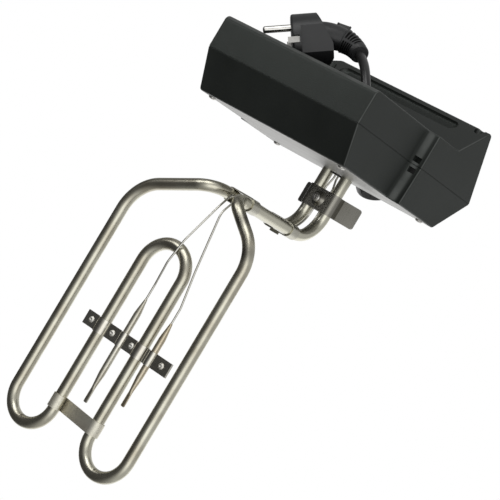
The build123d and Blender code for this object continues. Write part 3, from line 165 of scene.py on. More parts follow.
# The lead: gland end, coil of two layers with the crossing given in turns, and free run to the plug's tail
GLAND_END = mm(-51.0, -16.75, 77.0)
CORD_D = 6.5 * MM
COIL_R = 22.5 * MM
COIL_TURNS = 2.5
COIL_PITCH = 7.4 * MM
COIL_STEPS = 16
COIL_EASE = 0.01
COIL_CROSSING = 0.5
COIL_CENTRE = mm(-10.0, -16.75, 56.25)
FREE_RUN = [
    mm(-51.0, -9.35, 60.25), mm(-51.0, -9.35, 45.25), mm(-48.39, -0.19, 33.18), mm(-41.46, 12.21, 28.76),
    mm(-25.6, 28.03, 33.98), mm(-13.8, 32.57, 40.0)]

# The plug: middle of its face, ways of its pins, pair and clips, and its bent tail with radii in millimetres
PLUG_FACE = mm(27.9, 17.8, 22.3)
PIN_WAY = Vector((0.652, -0.575, -0.495)).normalized()
PAIR_WAY = Vector((0.460, 0.818, -0.3445)).normalized()
CLIP_WAY = PIN_WAY.cross(PAIR_WAY)
TAIL_ROOT = PLUG_FACE + PAIR_WAY * 3.0 * MM - PIN_WAY * 16.0 * MM
TAIL_LEAVE = 18.0 * MM
TAIL_ARRIVE = 12.0 * MM
TAIL_RADII = (9.5, 9.2, 8.0, 6.4, 5.4)

# The sleeve on that tail: places as shares of its length, heights above it in millimetres
BOOT_LIFT = 0.9
BOOT_START = [(0.50, -0.5), (0.53, BOOT_LIFT)]
BOOT_END = [(0.965, BOOT_LIFT), (0.985, 0.4), (0.99, -1.5)]
SLOT_LIFT = 0.1
SLOT_FIRST = 0.58
SLOT_PITCH = 0.062
SLOT_COUNT = 5
SLOT_HALF = 0.016
SLOT_EDGE = 0.004
SPINE_COSINE = 0.98
TAB_SPOT = 0.42
TAB_SPAN = 0.2
TAB_SINK = 0.3 * MM
TAB_SIZE = mm(8.0, 4.6, 4.0)

# The photograph's camera, solved from the object's own lines, and the two places that the lamps aim at
CAMERA_PLACE = Vector((-0.81908, -0.11325, -1.01998))
CAMERA_RIGHT = Vector((-0.68414, 0.51279, 0.51865))
CAMERA_UP = Vector((0.41071, 0.85851, -0.30704))
CAMERA_LENS = 143.2
HEAD_MIDDLE = mm(0.0, -120.0, 60.0)
BOX_FOOT = mm(0.0, 0.0, 10.0)

# Reflected room: where it glows and where it is dark, as the photograph's highlights show
GLOW_WAY = Vector((-0.73, 0.0, -0.684))
SHADE_WAY = Vector((0.862, -0.304, -0.406))

# Shared looks: height of the oil, a stretch that is the same along all axes, and two blacks
OIL_LEVEL = 20.0 * MM
EVEN = (1.0, 1.0, 1.0)
PLUG_BLACK = (0.009, 0.0095, 0.010)
RUBBER_BLACK = (0.012, 0.012, 0.012)

# Shader groups and geometry trees by name, filled by the effects operator
SHARED = {}


def new_object(name, data):
    """A new object in the scene."""
    made = bpy.data.objects.new(name, data)
    bpy.context.scene.collection.objects.link(made)
    return made


def mesh_piece(name, mesh, body, slot, *replaced):
    """Put a finished mesh into the scene as a piece that rides on a body."""
    mesh.name = name
    piece = new_object(name, mesh)
    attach(piece, body)
    if replaced:
        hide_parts(*replaced)


def dress(material, *names):
    """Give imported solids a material."""
    for name in names:
        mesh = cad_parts[name].data
        mesh.materials.clear()
        mesh.materials.append(material)


def shade(colour, factor, lift=0.0):
    """A colour made darker or paler."""
    return tuple(c * factor + lift for c in colour)


# Node building


def feed(tree, value, socket):
    """Link a socket to an input, or set the input to a plain value."""
    if isinstance(value, bpy.types.NodeSocket):
        tree.links.new(value, socket)
    else:
        socket.default_value = value


def add(tree, kind, inputs=None, **settings):
    """Add a node, set its properties and feed its inputs; returns its outputs."""
    made = tree.nodes.new(kind)
    for key, value in settings.items():
        setattr(made, key, value)
    for key, value in (inputs or {}).items():
        feed(tree, value, made.inputs[key])
    return made.outputs


def noise(tree, place, scale, detail=3.0, roughness=0.5):
    """Noise about one half."""
    inputs = {"Vector": place, "Scale": scale, "Detail": detail, "Roughness": roughness}
    return add(tree, "ShaderNodeTexNoise", inputs)["Fac"]


def remap(tree, value, low, high, to_low=0.0, to_high=1.0):
    """Carry one range over to another, held at both ends."""
    inputs = {"Value": value, "From Min": low, "From Max": high, "To Min": to_low, "To Max": to_high}
    return add(tree, "ShaderNodeMapRange", inputs)["Result"]


def blend(tree, factor, *colours):
    """Mix two colours, each a socket or a plain colour."""
    first, second = [c if isinstance(c, bpy.types.NodeSocket) else (*c[:3], 1.0) for c in colours]
    return add(tree, "ShaderNodeMix", {0: factor, 6: first, 7: second}, data_type="RGBA")[2]


def maths(tree, operation, first, second=0.5):
    """Work out one number from one or two."""
    return add(tree, "ShaderNodeMath", {0: first, 1: second}, operation=operation)["Value"]


def times(tree, first, second):
    """Multiply two numbers."""
    return maths(tree, "MULTIPLY", first, second)


def toward(tree, way, target):
    """How far a direction points towards a target: 1 straight at it, 0 square to it."""
    return add(tree, "ShaderNodeVectorMath", {0: way, 1: target}, operation="DOT_PRODUCT")["Value"]


def stored(tree, name):
    """What a piece's mesh stores under a name, as read by a shader."""
    return add(tree, "ShaderNodeAttribute", attribute_name=name)


def object_place(tree, stretch=EVEN):
    """Object coordinates, stretched along the axes."""
    place = add(tree, "ShaderNodeTexCoord")["Object"]
    return add(tree, "ShaderNodeMapping", {"Vector": place, "Scale": stretch})["Vector"]


def tube_place(tree, stretch):
    """Coordinates of the tube as if it were straight: round it, and along it by its own length."""
    along = times(tree, stored(tree, "along")["Fac"], stretch)
    axis = add(tree, "ShaderNodeCombineXYZ", {"Z": along})["Vector"]
    ring = stored(tree, "ring")["Vector"]
    return add(tree, "ShaderNodeVectorMath", {0: ring, 1: axis}, operation="ADD")["Vector"]


# Shared effects


def effect_group(name, amount, *outputs):
    """An empty shader group fed by a place and one amount; returns it, its inputs and its outputs."""
    group = bpy.data.node_groups.new(name, "ShaderNodeTree")
    group.interface.new_socket("Place", in_out="INPUT", socket_type="NodeSocketVector")
    group.interface.new_socket(amount, in_out="INPUT", socket_type="NodeSocketFloat")
    for label in outputs:
        group.interface.new_socket(label, in_out="OUTPUT", socket_type="NodeSocketFloat")
    return group, add(group, "NodeGroupInput"), group.nodes.new("NodeGroupOutput").inputs


def mould_grain():
    """Moulded surface: fine pebble height and slow patches of gloss."""
    group, (place, scale, *_), out = effect_group("mould_grain", "Scale", "Height", "Patches")
    cells = add(group, "ShaderNodeTexVoronoi", {"Vector": place, "Scale": scale}, feature="SMOOTH_F1")
    speck = noise(group, place, times(group, scale, 2.3), 2.0)
    speck = times(group, speck, 0.5)
    feed(group, maths(group, "ADD", cells["Distance"], speck), out["Height"])
    feed(group, noise(group, place, 18.0, 4.0, 0.55), out["Patches"])
    return group


def handling_wear():
    """Rubbed and scuffed places: thin scratches gathered in worn patches."""
    group, (place, amount, *_), out = effect_group("handling_wear", "Amount", "Scuffs", "Rubbed")
    turned = add(group, "ShaderNodeMapping", {
        "Vector": place, "Rotation": (0.4, 0.7, 1.1), "Scale": (1.0, 14.0, 6.0)})["Vector"]
    thin = remap(group, noise(group, turned, 60.0, 5.0, 0.65), 0.62, 0.72)
    where = remap(group, noise(group, place, 26.0), 0.45, 0.68)
    rubbed = times(group, where, amount)
    feed(group, times(group, thin, rubbed), out["Scuffs"])
    feed(group, rubbed, out["Rubbed"])
    return group


def heat_tone():
    """Cooked-on tone of what hangs in hot oil: strongest low down, broken up by noise."""
    group, (place, level, *_), out = effect_group("heat_tone", "Level", "Tone", "Film")
    height = add(group, "ShaderNodeSeparateXYZ", {"Vector": place})["Z"]
    deep = remap(group, height, maths(group, "ADD", level, 0.02), level, 0.15, 1.0)
    cloud = remap(group, noise(group, place, 55.0, 4.0, 0.6), 0.35, 0.7)
    drops = remap(group, noise(group, place, 420.0, 2.0), 0.6, 0.75)
    feed(group, times(group, deep, cloud), out["Tone"])
    feed(group, times(group, deep, drops), out["Film"])
    return group


def drawn_lines():
    """Fine lines along the way that metal was drawn, rolled or brushed."""
    group, (place, scale, *_), out = effect_group("drawn_lines", "Scale", "Height", "Lines")
    fine = noise(group, place, scale, 5.0, 0.65)
    broad = noise(group, place, times(group, scale, 0.22))
    feed(group, fine, out["Height"])
    fine, broad = times(group, fine, 0.6), times(group, broad, 0.4)
    feed(group, maths(group, "ADD", fine, broad), out["Lines"])
    return group


def effect(tree, name, place, amount):
    """Put a shared effect into a material; returns its outputs."""
    return add(tree, "ShaderNodeGroup", {0: place, 1: amount}, node_tree=SHARED[name])


# Materials


def new_material(name):
    """A material with a plain Principled shader; returns it, its tree and the shader's inputs."""
    material = bpy.data.materials.new(name)
    material.use_nodes = True
    return material, material.node_tree, shader_of(material)


def shader_of(material):
    """Inputs of a material's Principled shader."""
    return material.node_tree.nodes["Principled BSDF"].inputs


def relief(material, height, strength, depth):
    """Bump a material from a height, with its depth in millimetres."""
    tree = material.node_tree
    bump = add(tree, "ShaderNodeBump", {"Strength": strength, "Distance": depth * MM, "Height": height})
    feed(tree, bump["Normal"], shader_of(material)["Normal"])


def overlay(material, factor, colour):
    """Lay a colour over a material's own."""
    base = shader_of(material)["Base Color"]
    feed(material.node_tree, blend(material.node_tree, factor, base.links[0].from_socket, colour), base)


def moulded_plastic(name, colour, roughness, grain, depth, wear=0.3, specular=0.5):
    """Moulded plastic: pebbled grain, patchy gloss, rubbed places and a few pale scuffs."""
    material, tree, shader = new_material(name)
    shader["Specular IOR Level"].default_value = specular
    place = object_place(tree)
    surface = effect(tree, "mould_grain", place, grain)
    marks = effect(tree, "handling_wear", place, wear)
    patches = remap(tree, surface["Patches"], 0.35, 0.7)
    feed(tree, blend(tree, patches, colour, shade(colour, 1.3, 0.001)), shader["Base Color"])
    overlay(material, marks["Scuffs"], shade(colour, 1.8, 0.03))
    gloss = remap(tree, surface["Patches"], 0.3, 0.7, roughness - 0.04, roughness + 0.06)
    rubbed = times(tree, marks["Rubbed"], 0.12)
    feed(tree, maths(tree, "SUBTRACT", gloss, rubbed), shader["Roughness"])
    relief(material, surface["Height"], 0.35, depth)
    return material


def worked_metal(name, colour, toned, roughness, stretch=EVEN, scale=1500.0, oily=False, lines=0.04):
    """Drawn or rolled metal: lines along the work, and on oily metal a cooked-on tone below the oil's level.

    The stretch is one number along a bent tube, or three along the axes.
    """
    material, tree, shader = new_material(name)
    shader["Metallic"].default_value = 1.0
    place = object_place(tree)
    work_place = tube_place(tree, stretch) if isinstance(stretch, float) else object_place(tree, stretch)
    work = effect(tree, "drawn_lines", work_place, scale)
    wear_and_painted_sheen = remap(tree, work["Lines"], 0.35, 0.65)
    feed(tree, blend(tree, wear_and_painted_sheen, shade(colour, 0.88), colour), shader["Base Color"])
    gloss = remap(tree, work["Lines"], 0.3, 0.7, roughness + 0.08, roughness - 0.06)
    if oily:
        cooked = effect(tree, "heat_tone", place, OIL_LEVEL)
        overlay(material, cooked["Tone"], toned)
        gloss = maths(tree, "ADD", gloss, times(tree, cooked["Film"], 0.05))
    else:
        overlay(material, remap(tree, noise(tree, place, 40.0, 4.0), 0.4, 0.75, 0.0, 0.8), toned)
    feed(tree, gloss, shader["Roughness"])
    relief(material, work["Height"], lines, 0.1)
    return material


def tube_steel(colour):
    """Drawn steel of the immersion tube, with dark marks at the ends of two bends."""
    material = worked_metal(
        "tube_steel", colour, (0.42, 0.39, 0.31), 0.27, 0.03, 1100.0, oily=True, lines=0.03)
    tree = material.node_tree
    place = add(tree, "ShaderNodeTexCoord")["Object"]
    for mark in BEND_MARKS:
        away = add(tree, "ShaderNodeVectorMath", {0: place, 1: mark}, operation="DISTANCE")["Value"]
        overlay(material, remap(tree, away, 4.0 * MM, 8.0 * MM, 0.65, 0.0), (0.05, 0.045, 0.04))
    return material


def painted_edge_highlights(material):
    """Painted highlights as pale lines on the box's rounded edges, known by the way they face, alike on both
    ends.
    """
    tree = material.node_tree
    given = add(tree, "ShaderNodeTexCoord")
    axes = add(tree, "ShaderNodeSeparateXYZ", {"Vector": given["Normal"]})
    across = maths(tree, "ABSOLUTE", axes["X"])
    facing = add(tree, "ShaderNodeCombineXYZ", {"X": across, "Y": axes["Y"], "Z": axes["Z"]})["Vector"]
    height = add(tree, "ShaderNodeSeparateXYZ", {"Vector": given["Object"]})["Z"]
    low = maths(tree, "LESS_THAN", height, FOOT_HEIGHT)
    wear_and_painted_sheen = times(tree, toward(tree, facing, FOOT_EDGE), low)
    for edge in END_EDGES:
        wear_and_painted_sheen = maths(tree, "MAXIMUM", wear_and_painted_sheen, toward(tree, facing, edge))
    patches = remap(tree, noise(tree, given["Object"], 70.0), 0.3, 0.6, 0.5, 1.0)
    # Paint pale highlights on the edges, in patches, over the plastic's colour
    overlay(material, times(tree, remap(tree, wear_and_painted_sheen, 0.90, 0.97), patches), (0.06, 0.062, 0.06))


def lamp_lens(name, colour):
    """Clear tinted lens with faint moulding flow in it."""
    material, tree, shader = new_material(name)
    surface = effect(tree, "mould_grain", object_place(tree), 900.0)
    feed(tree, blend(tree, surface["Patches"], shade(colour, 0.6), colour), shader["Base Color"])
    feed(tree, remap(tree, surface["Patches"], 0.3, 0.7, 0.12, 0.22), shader["Roughness"])
    shader["Transmission Weight"].default_value = 0.55
    shader["IOR"].default_value = 1.49
    relief(material, surface["Height"], 0.08, 0.05)
    return material


# Geometry node building


def tree_with(name, **inputs):
    """An empty geometry tree with named inputs; returns it, its input sockets and its output socket."""
    tree = bpy.data.node_groups.new(name, "GeometryNodeTree")
    for label, kind in (("Geometry", "Geometry"), *inputs.items(), ("Material", "Material")):
        tree.interface.new_socket(label, in_out="INPUT", socket_type="NodeSocket" + kind)
    tree.interface.new_socket("Geometry", in_out="OUTPUT", socket_type="NodeSocketGeometry")
    return tree, add(tree, "NodeGroupInput"), tree.nodes.new("NodeGroupOutput").inputs["Geometry"]


def attribute(tree, name, kind):
    """What the points store under a name."""
    return add(tree, "GeometryNodeInputNamedAttribute", {"Name": name}, data_type=kind)["Attribute"]


def keep(tree, geometry, name, kind, value):
    """Store a value on the points under a name."""
    inputs = {"Geometry": geometry, "Name": name, "Value": value}
    return add(tree, "GeometryNodeStoreNamedAttribute", inputs, data_type=kind, domain="POINT")["Geometry"]


def axis_turn(tree, axis, angle):
    """A turn about an axis."""
    return add(tree, "FunctionNodeAxisAngleToRotation", {"Axis": axis, "Angle": angle})["Rotation"]


def finish_tree(tree, geometry, given, out):
    """End a tree in real, dressed geometry and hand it back."""
    whole = add(tree, "GeometryNodeRealizeInstances", {"Geometry": geometry})["Geometry"]
    dressed = add(tree, "GeometryNodeSetMaterial", {"Geometry": whole, "Material": given["Material"]})
    feed(tree, dressed["Geometry"], out)
    return tree


def spread(tree, points, instance, rotation):
    """One instance on every point."""
    inputs = {"Points": points, "Instance": instance, "Rotation": rotation}
    return add(tree, "GeometryNodeInstanceOnPoints", inputs)["Instances"]


def bent_tube():
    """A round tube along a line whose corners are rounded by the radius that each one carries."""
    tree, given, out = tree_with("bent_tube", Radius="Float", Sides="Int", Steps="Int")
    line = add(tree, "GeometryNodeMeshToCurve", {"Mesh": given["Geometry"]})["Curve"]
    bends = add(tree, "GeometryNodeFilletCurve", {
        "Curve": line, "Radius": attribute(tree, "bend", "FLOAT"), "Count": given["Steps"]}, mode="POLY")
    circle = add(tree, "GeometryNodeCurvePrimitiveCircle", {
        "Resolution": given["Sides"], "Radius": given["Radius"]})
    length = add(tree, "GeometryNodeSplineParameter")["Length"]
    place = add(tree, "GeometryNodeInputPosition")["Position"]
    swept = add(tree, "GeometryNodeCurveToMesh", {
        "Curve": keep(tree, bends["Curve"], "along", "FLOAT", length),
        "Profile Curve": keep(tree, circle["Curve"], "ring", "FLOAT_VECTOR", place),
        "Fill Caps": True})
    smooth = add(tree, "GeometryNodeSetShadeSmooth", {"Geometry": swept["Mesh"]})
    return finish_tree(tree, smooth["Geometry"], given, out)


def fasteners():
    """One fastener on every point, its head turned the way that the point faces."""
    tree, given, out = tree_with("fasteners", Fastener="Object", Turn="Float")
    shape = add(tree, "GeometryNodeObjectInfo", {"Object": given["Fastener"], "As Instance": True})
    facing = add(tree, "FunctionNodeAlignRotationToVector", {
        "Vector": attribute(tree, "facing", "FLOAT_VECTOR")}, axis="Z")
    index = add(tree, "GeometryNodeInputIndex")["Index"]
    spin = axis_turn(tree, (0.0, 0.0, 1.0), times(tree, index, given["Turn"]))
    turned = add(tree, "FunctionNodeRotateRotation", {
        "Rotation": facing["Rotation"], "Rotate By": spin}, rotation_space="LOCAL")
    placed = spread(tree, given["Geometry"], shape["Geometry"], turned["Rotation"])
    return finish_tree(tree, placed, given, out)


def dial_ticks():
    """Printed ticks on an arc round the knob."""
    tree, given, out = tree_with(
        "dial_ticks", Count="Int", Radius="Float", Length="Float", Width="Float", Sweep="Float")
    index = add(tree, "GeometryNodeInputIndex")["Index"]
    last = maths(tree, "SUBTRACT", given["Count"], 1.0)
    share = maths(tree, "SUBTRACT", maths(tree, "DIVIDE", index, last), 0.5)
    angle = times(tree, share, given["Sweep"])
    spot = add(tree, "ShaderNodeCombineXYZ", {
        "X": times(tree, maths(tree, "SINE", angle), given["Radius"]),
        "Y": times(tree, maths(tree, "COSINE", angle), given["Radius"])})
    points = add(tree, "GeometryNodeMeshLine", {"Count": given["Count"]})
    moved = add(tree, "GeometryNodeSetPosition", {
        "Geometry": points["Mesh"], "Position": spot["Vector"]})
    size = add(tree, "ShaderNodeCombineXYZ", {"X": given["Width"], "Y": given["Length"], "Z": TICK_THICK})
    bar = add(tree, "GeometryNodeMeshCube", {"Size": size["Vector"]})
    spin = axis_turn(tree, (0.0, 0.0, -1.0), angle)
    placed = spread(tree, moved["Geometry"], bar["Mesh"], spin)
    return finish_tree(tree, placed, given, out)


def evaluated(item):
    """The plain mesh of an object after its modifiers."""
    graph = bpy.context.evaluated_depsgraph_get()
    return bpy.data.meshes.new_from_object(
        item.evaluated_get(graph), preserve_all_data_layers=True, depsgraph=graph)


def grow(name, mesh, tree, **values):
    """Run a shared tree on a mesh and return the plain mesh that comes out."""
    carrier = new_object(name, mesh)
    modifier = carrier.modifiers.new(name, "NODES")
    modifier.node_group = SHARED[tree]
    for socket in modifier.node_group.interface.items_tree:
        if socket.in_out == "INPUT" and socket.name in values:
            modifier[socket.identifier] = values[socket.name]
    grown = evaluated(carrier)
    bpy.data.objects.remove(carrier)
    if not grown.polygons:
        raise RuntimeError("nothing came out of " + name)
    return grown


# Mesh building


def drawn(shape, name, *materials):
    """A mesh from a finished bmesh."""
    mesh = bpy.data.meshes.new(name)
    shape.to_mesh(mesh)
    shape.free()
    for material in materials:
        mesh.materials.append(material)
    return mesh


def round_angles(sides):
    """Even angles round a full turn."""
    return [2 * pi * k / sides for k in range(sides)]


def skin(rings):
    """A closed smooth bmesh over rings of places; a ring of one place is a tip, other ends get flat caps."""
    shape = bmesh.new()
    rows = [[shape.verts.new(place) for place in ring] for ring in rings]
    for near, far in zip(rows, rows[1:]):
        for k in range(max(len(near), len(far))):
            corners = [near[k % len(near)], near[(k + 1) % len(near)]]
            corners += [far[(k + 1) % len(far)], far[k % len(far)]]
            shape.faces.new(list(dict.fromkeys(corners))).smooth = True
    for row in (rows[0], rows[-1]):
        if len(row) > 1:
            shape.faces.new(row)
    bmesh.ops.recalc_face_normals(shape, faces=shape.faces)
    return shape


def lathe(name, profile, sides):
    """A closed turned shape about Z: radius and height pairs in millimetres, first and last on the axis."""
    rings = []
    for radius, height in profile:
        angles = round_angles(sides) if radius else [0.0]
        rings.append([mm(radius * cos(a), radius * sin(a), height) for a in angles])
    return drawn(skin(rings), name)


def oval_rod(name, sections, sides, material):
    """A closed rod along -Y through oval sections: distance, half width and half height in millimetres."""
    angles = round_angles(sides)
    rings = [[mm(wide * cos(a), -along, high * sin(a)) for a in angles] for along, wide, high in sections]
    return drawn(skin(rings), name, material)


def rounded_block(shape, size, middle, turn, radius, segments):
    """Add a block with rounded edges to a bmesh."""
    made = bmesh.ops.create_cube(shape, size=1.0)["verts"]
    for vertex in made:
        vertex.co = middle + turn @ (vertex.co * size)
    edges = {edge for vertex in made for edge in vertex.link_edges}
    bmesh.ops.bevel(shape, geom=list(edges), offset=radius, segments=segments, profile=0.5, affect="EDGES")


def cross_recess(width, wide, deep, top):
    """Tapered cross that is cut into a screw's head, in millimetres."""
    shape = bmesh.new()
    for turn in (0.0, pi / 2):
        made = bmesh.ops.create_cube(shape, size=1.0)["verts"]
        for vertex in made:
            share = 1.0 if vertex.co.z > 0 else 0.45
            vertex.co *= mm(width * share, wide * share, deep * 2)
        bmesh.ops.rotate(shape, verts=made, matrix=Matrix.Rotation(turn, 3, "Z"))
        bmesh.ops.translate(shape, verts=made, vec=(0, 0, top * MM))
    return drawn(shape, "cross_recess")


def screw_mesh(head, height, shank, length):
    """Pan-head screw with a cross recess and a rolled thread, seat at zero and head up, in millimetres."""
    core = shank / 2
    body = [(head * wide, height * high) for wide, high in PAN_HEAD] + [(core, 0)]
    for k in range(int(length / THREAD_PITCH)):
        body += [(core * wide, high - THREAD_PITCH * k) for wide, high in THREAD_TURN]
    body += [(shank * 0.3, -length), (0, -length)]
    blank = new_object("screw_blank", lathe("screw_blank", body, 28))
    cutter = new_object("screw_recess", cross_recess(head * 0.56, head * 0.13, height * 0.65, height))
    cut = blank.modifiers.new("recess", "BOOLEAN")
    cut.operation = "DIFFERENCE"
    cut.solver = "EXACT"
    cut.use_self = True
    cut.object = cutter
    mesh = evaluated(blank)
    for item in (blank, cutter):
        bpy.data.objects.remove(item)
    return mesh


def fastener_piece(name, shape, places, material, replaced, turn=0.0):
    """Fasteners of one size, on places in millimetres, as one piece on the head."""
    pattern = new_object(name + "_pattern", shape)
    points = bpy.data.meshes.new(name)
    points.from_pydata([mm(*place) for place, facing in places], [], [])
    ways = points.attributes.new("facing", "FLOAT_VECTOR", "POINT")
    for item, (place, facing) in zip(ways.data, places):
        item.vector = facing
    mesh = grow(name, points, "fasteners", Fastener=pattern, Turn=turn, Material=material)
    bpy.data.objects.remove(pattern)
    mesh_piece(name, mesh, "head", "screw_steel", replaced)


# Properties


def colour_choice(name, description, default):
    """A colour that a user may change."""
    return FloatVectorProperty(name=name, description=description, subtype="COLOR", default=default)


class HeadSizes(bpy.types.PropertyGroup):
    """Sizes that a user may change."""

    tube_radius: FloatProperty(
        name="Tube radius", description="Outside radius of the tube", default=4.25 * MM, unit="LENGTH")
    tube_sides: IntProperty(
        name="Tube sides", description="Sides of the immersion tube's mesh", default=40, min=12)
    bend_steps: IntProperty(
        name="Bend steps", description="Points on each bend of the immersion tube", default=20, min=4)
    cord_diameter: FloatProperty(
        name="Lead diameter", description="Outside diameter of the lead", default=CORD_D, unit="LENGTH")
    tick_count: IntProperty(
        name="Dial ticks", description="Printed ticks round the knob", default=11, min=3)
    tick_length: FloatProperty(
        name="Tick length", description="Length of a printed tick", default=1.5 * MM, unit="LENGTH")


class HeadColours(bpy.types.PropertyGroup):
    """Colours that a user may change."""

    shell: colour_choice("Box", "Plastic of the box", (0.0072, 0.0084, 0.0075))
    tube: colour_choice("Tube", "Steel of the immersion tube", (0.60, 0.585, 0.49))
    strip: colour_choice("Brackets", "Steel of the brackets", (0.64, 0.625, 0.56))
    bright: colour_choice("Bright parts", "Screws and pins", (0.62, 0.61, 0.58))
    tick: colour_choice("Dial print", "Print round the knob", (0.55, 0.55, 0.53))


# Operators


class FRYER_OT_stage(bpy.types.Operator):
    """Camera at the photograph's angle, soft lamps, a pale floor and the world"""

    bl_idname = "fryer.stage"
    bl_label = "Stage"

    def execute(self, context):
        scene = context.scene
        scene.view_settings.view_transform = "Standard"
        camera = bpy.data.cameras.new("photo_camera")
        camera.lens = CAMERA_LENS
        camera.sensor_width = 36.0
        camera.clip_end = 20.0
        scene.camera = new_object("photo_camera", camera)
        turn = Matrix((CAMERA_RIGHT, CAMERA_UP, CAMERA_RIGHT.cross(CAMERA_UP))).transposed().to_4x4()
        scene.camera.matrix_world = Matrix.Translation(CAMERA_PLACE) @ turn
        self.lamps()
        self.world(scene)
        self.floor()
        return {"FINISHED"}

    def lamps(self):
        """Soft lamps: over the photograph's top edge, beside its camera, close under the box, and above."""
        toward_camera = (CAMERA_PLACE - HEAD_MIDDLE).normalized()
        for name, target, way, away, power, size in (
                ("lamp_photo_top", HEAD_MIDDLE, CAMERA_UP * 0.9 + toward_camera * 0.5, 1.3, 3.5, 0.7),
                ("lamp_camera", HEAD_MIDDLE, GLOW_WAY, 1.3, 2.0, 1.0),
                ("lamp_box_foot", BOX_FOOT, Vector((0.58, 0.29, -0.76)), 0.5, 0.45, 0.25),
                ("lamp_above", HEAD_MIDDLE, Vector((0.4, -0.5, 1.0)), 1.3, 9.0, 2.0)):
            lamp = bpy.data.lights.new(name, "AREA")
            lamp.energy = power
            lamp.shape = "SQUARE"
            lamp.size = size
            holder = new_object(name, lamp)
            holder.location = target + way.normalized() * away
            holder.rotation_euler = (target - holder.location).to_track_quat("-Z", "Y").to_euler()

    def world(self, scene):
        """White behind the object; in reflections a grey room, bright behind the camera and dark below."""
        scene.world = bpy.data.worlds.new("studio")
        scene.world.use_nodes = True
        tree = scene.world.node_tree
        rays = add(tree, "ShaderNodeLightPath")
        way = add(tree, "ShaderNodeTexCoord")["Generated"]
        shadow = remap(tree, toward(tree, way, SHADE_WAY), -0.1, 0.75, 0.0, 0.9)
        glow = remap(tree, toward(tree, way, GLOW_WAY), 0.72, 0.90, 0.62, 1.0)
        dome = times(tree, glow, maths(tree, "SUBTRACT", 1.0, shadow))
        level = add(tree, "ShaderNodeMix", {0: rays["Is Glossy Ray"], 2: 0.55, 3: dome})[0]
        straight = maths(tree, "MAXIMUM", rays["Is Camera Ray"], rays["Is Transmission Ray"])
        background = tree.nodes["Background"].inputs
        background["Color"].default_value = (1.0, 1.0, 1.0, 1.0)
        feed(tree, add(tree, "ShaderNodeMix", {0: straight, 2: level, 3: 1.0})[0], background["Strength"])

    def floor(self):
        """A pale floor under the head that shows from above only."""
        mesh = bpy.data.meshes.new("floor")
        mesh.from_pydata([(-3, -3, 0), (3, -3, 0), (3, 3, 0), (-3, 3, 0)], [], [(0, 1, 2, 3)])
        mesh.transform(Matrix.Translation((0, 0, CAD_BOX[0][2] - 0.5 * MM)))
        floor = new_object("floor", mesh)
        material, tree, shader = new_material("floor_pale")
        shader["Base Color"].default_value = (0.86, 0.86, 0.86, 1.0)
        shader["Roughness"].default_value = 0.7
        mix = add(tree, "ShaderNodeMixShader", {
            "Fac": add(tree, "ShaderNodeNewGeometry")["Backfacing"],
            1: tree.nodes["Principled BSDF"].outputs["BSDF"],
            2: add(tree, "ShaderNodeBsdfTransparent")["BSDF"]})
        feed(tree, mix["Shader"], tree.nodes["Material Output"].inputs["Surface"])
        mesh.materials.append(material)
        for kind in ("diffuse", "glossy", "transmission", "shadow"):
            setattr(floor, "visible_" + kind, False)


class FRYER_OT_effects(bpy.types.Operator):
    """The shared surface effects and the geometry trees that the pieces use"""

    bl_idname = "fryer.effects"
    bl_label = "Shared effects"

    def execute(self, context):
        for make in (mould_grain, handling_wear, heat_tone, drawn_lines, bent_tube, fasteners, dial_ticks):
            SHARED[make.__name__] = make()
        return {"FINISHED"}


class FRYER_OT_box(bpy.types.Operator):
    """The two moulded shells and the steel plate of the control box"""

    bl_idname = "fryer.box"
    bl_label = "Control box"

    def execute(self, context):
        colour = context.scene.fryer_colours.shell
        plastic = moulded_plastic("box_plastic", colour, 0.46, 1500.0, 0.12, specular=0.44)
        shader_of(plastic)["Specular Tint"].default_value = (0.92, 1.0, 0.94, 1.0)
        # Pale painted highlights on the box's rounded edges
        painted_edge_highlights(plastic)
        dress(plastic, "rear_shell", "front_shell")
        mesh_piece("scoop_floor", self.scoop_floor(plastic), "head", "shell_plastic")
        sideways = (0.04, 1.0, 1.0)
        steel = worked_metal("plate_steel", (0.40, 0.40, 0.385), (0.32, 0.31, 0.30), 0.42, sideways, 1400.0)
        dress(steel, "front_plate")
        return {"FINISHED"}

    def scoop_floor(self, material):
        """Dished floor of the finger scoop in the leaning back."""
        radius = SCOOP_WIDTH / 2 - SCOOP_GAP
        straight = (SCOOP_LENGTH - SCOOP_WIDTH) / 2
        sides = 64
        steps = 12
        shares = [(k + 1) / steps for k in range(steps)]
        levels = [(share * radius, SCOOP_RIM + SCOOP_DISH * sqrt(1 - share * share)) for share in shares]
        levels.append((radius, SCOOP_UNDERSIDE))
        rings = []
        for reach, depth in levels:
            ring = []
            for angle in round_angles(sides):
                angle += pi / sides
                along = reach * cos(angle) + (straight if cos(angle) > 0 else -straight)
                ring.append(SCOOP_MIDDLE + END_OUT * along + RAMP_UP * reach * sin(angle) - RAMP_OUT * depth)
            rings.append(ring)
        mesh = drawn(skin(rings), "scoop_floor", material)
        mesh.shade_smooth()
        mesh.set_sharp_from_angle(angle=radians(50.0))
        return mesh


class FRYER_OT_element(bpy.types.Operator):
    """The bent immersion tube"""

    bl_idname = "fryer.element"
    bl_label = "Immersion tube"

    def execute(self, context):
        sizes = context.scene.fryer_sizes
        line = bpy.data.meshes.new("tube_line")
        places = [mm(x, y, z) for x, y, z, bend in TUBE_CORNERS]
        line.from_pydata(places, [(k, k + 1) for k in range(len(places) - 1)], [])
        bends = line.attributes.new("bend", "FLOAT", "POINT")
        for item, corner in zip(bends.data, TUBE_CORNERS):
            item.value = corner[3] * MM
        steel = tube_steel(context.scene.fryer_colours.tube)
        mesh = grow("immersion_tube", line, "bent_tube", Radius=sizes.tube_radius, Sides=sizes.tube_sides,
                    Steps=sizes.bend_steps, Material=steel)
        mesh_piece("immersion_tube", mesh, "head", "element_steel", "heating_element")
        return {"FINISHED"}


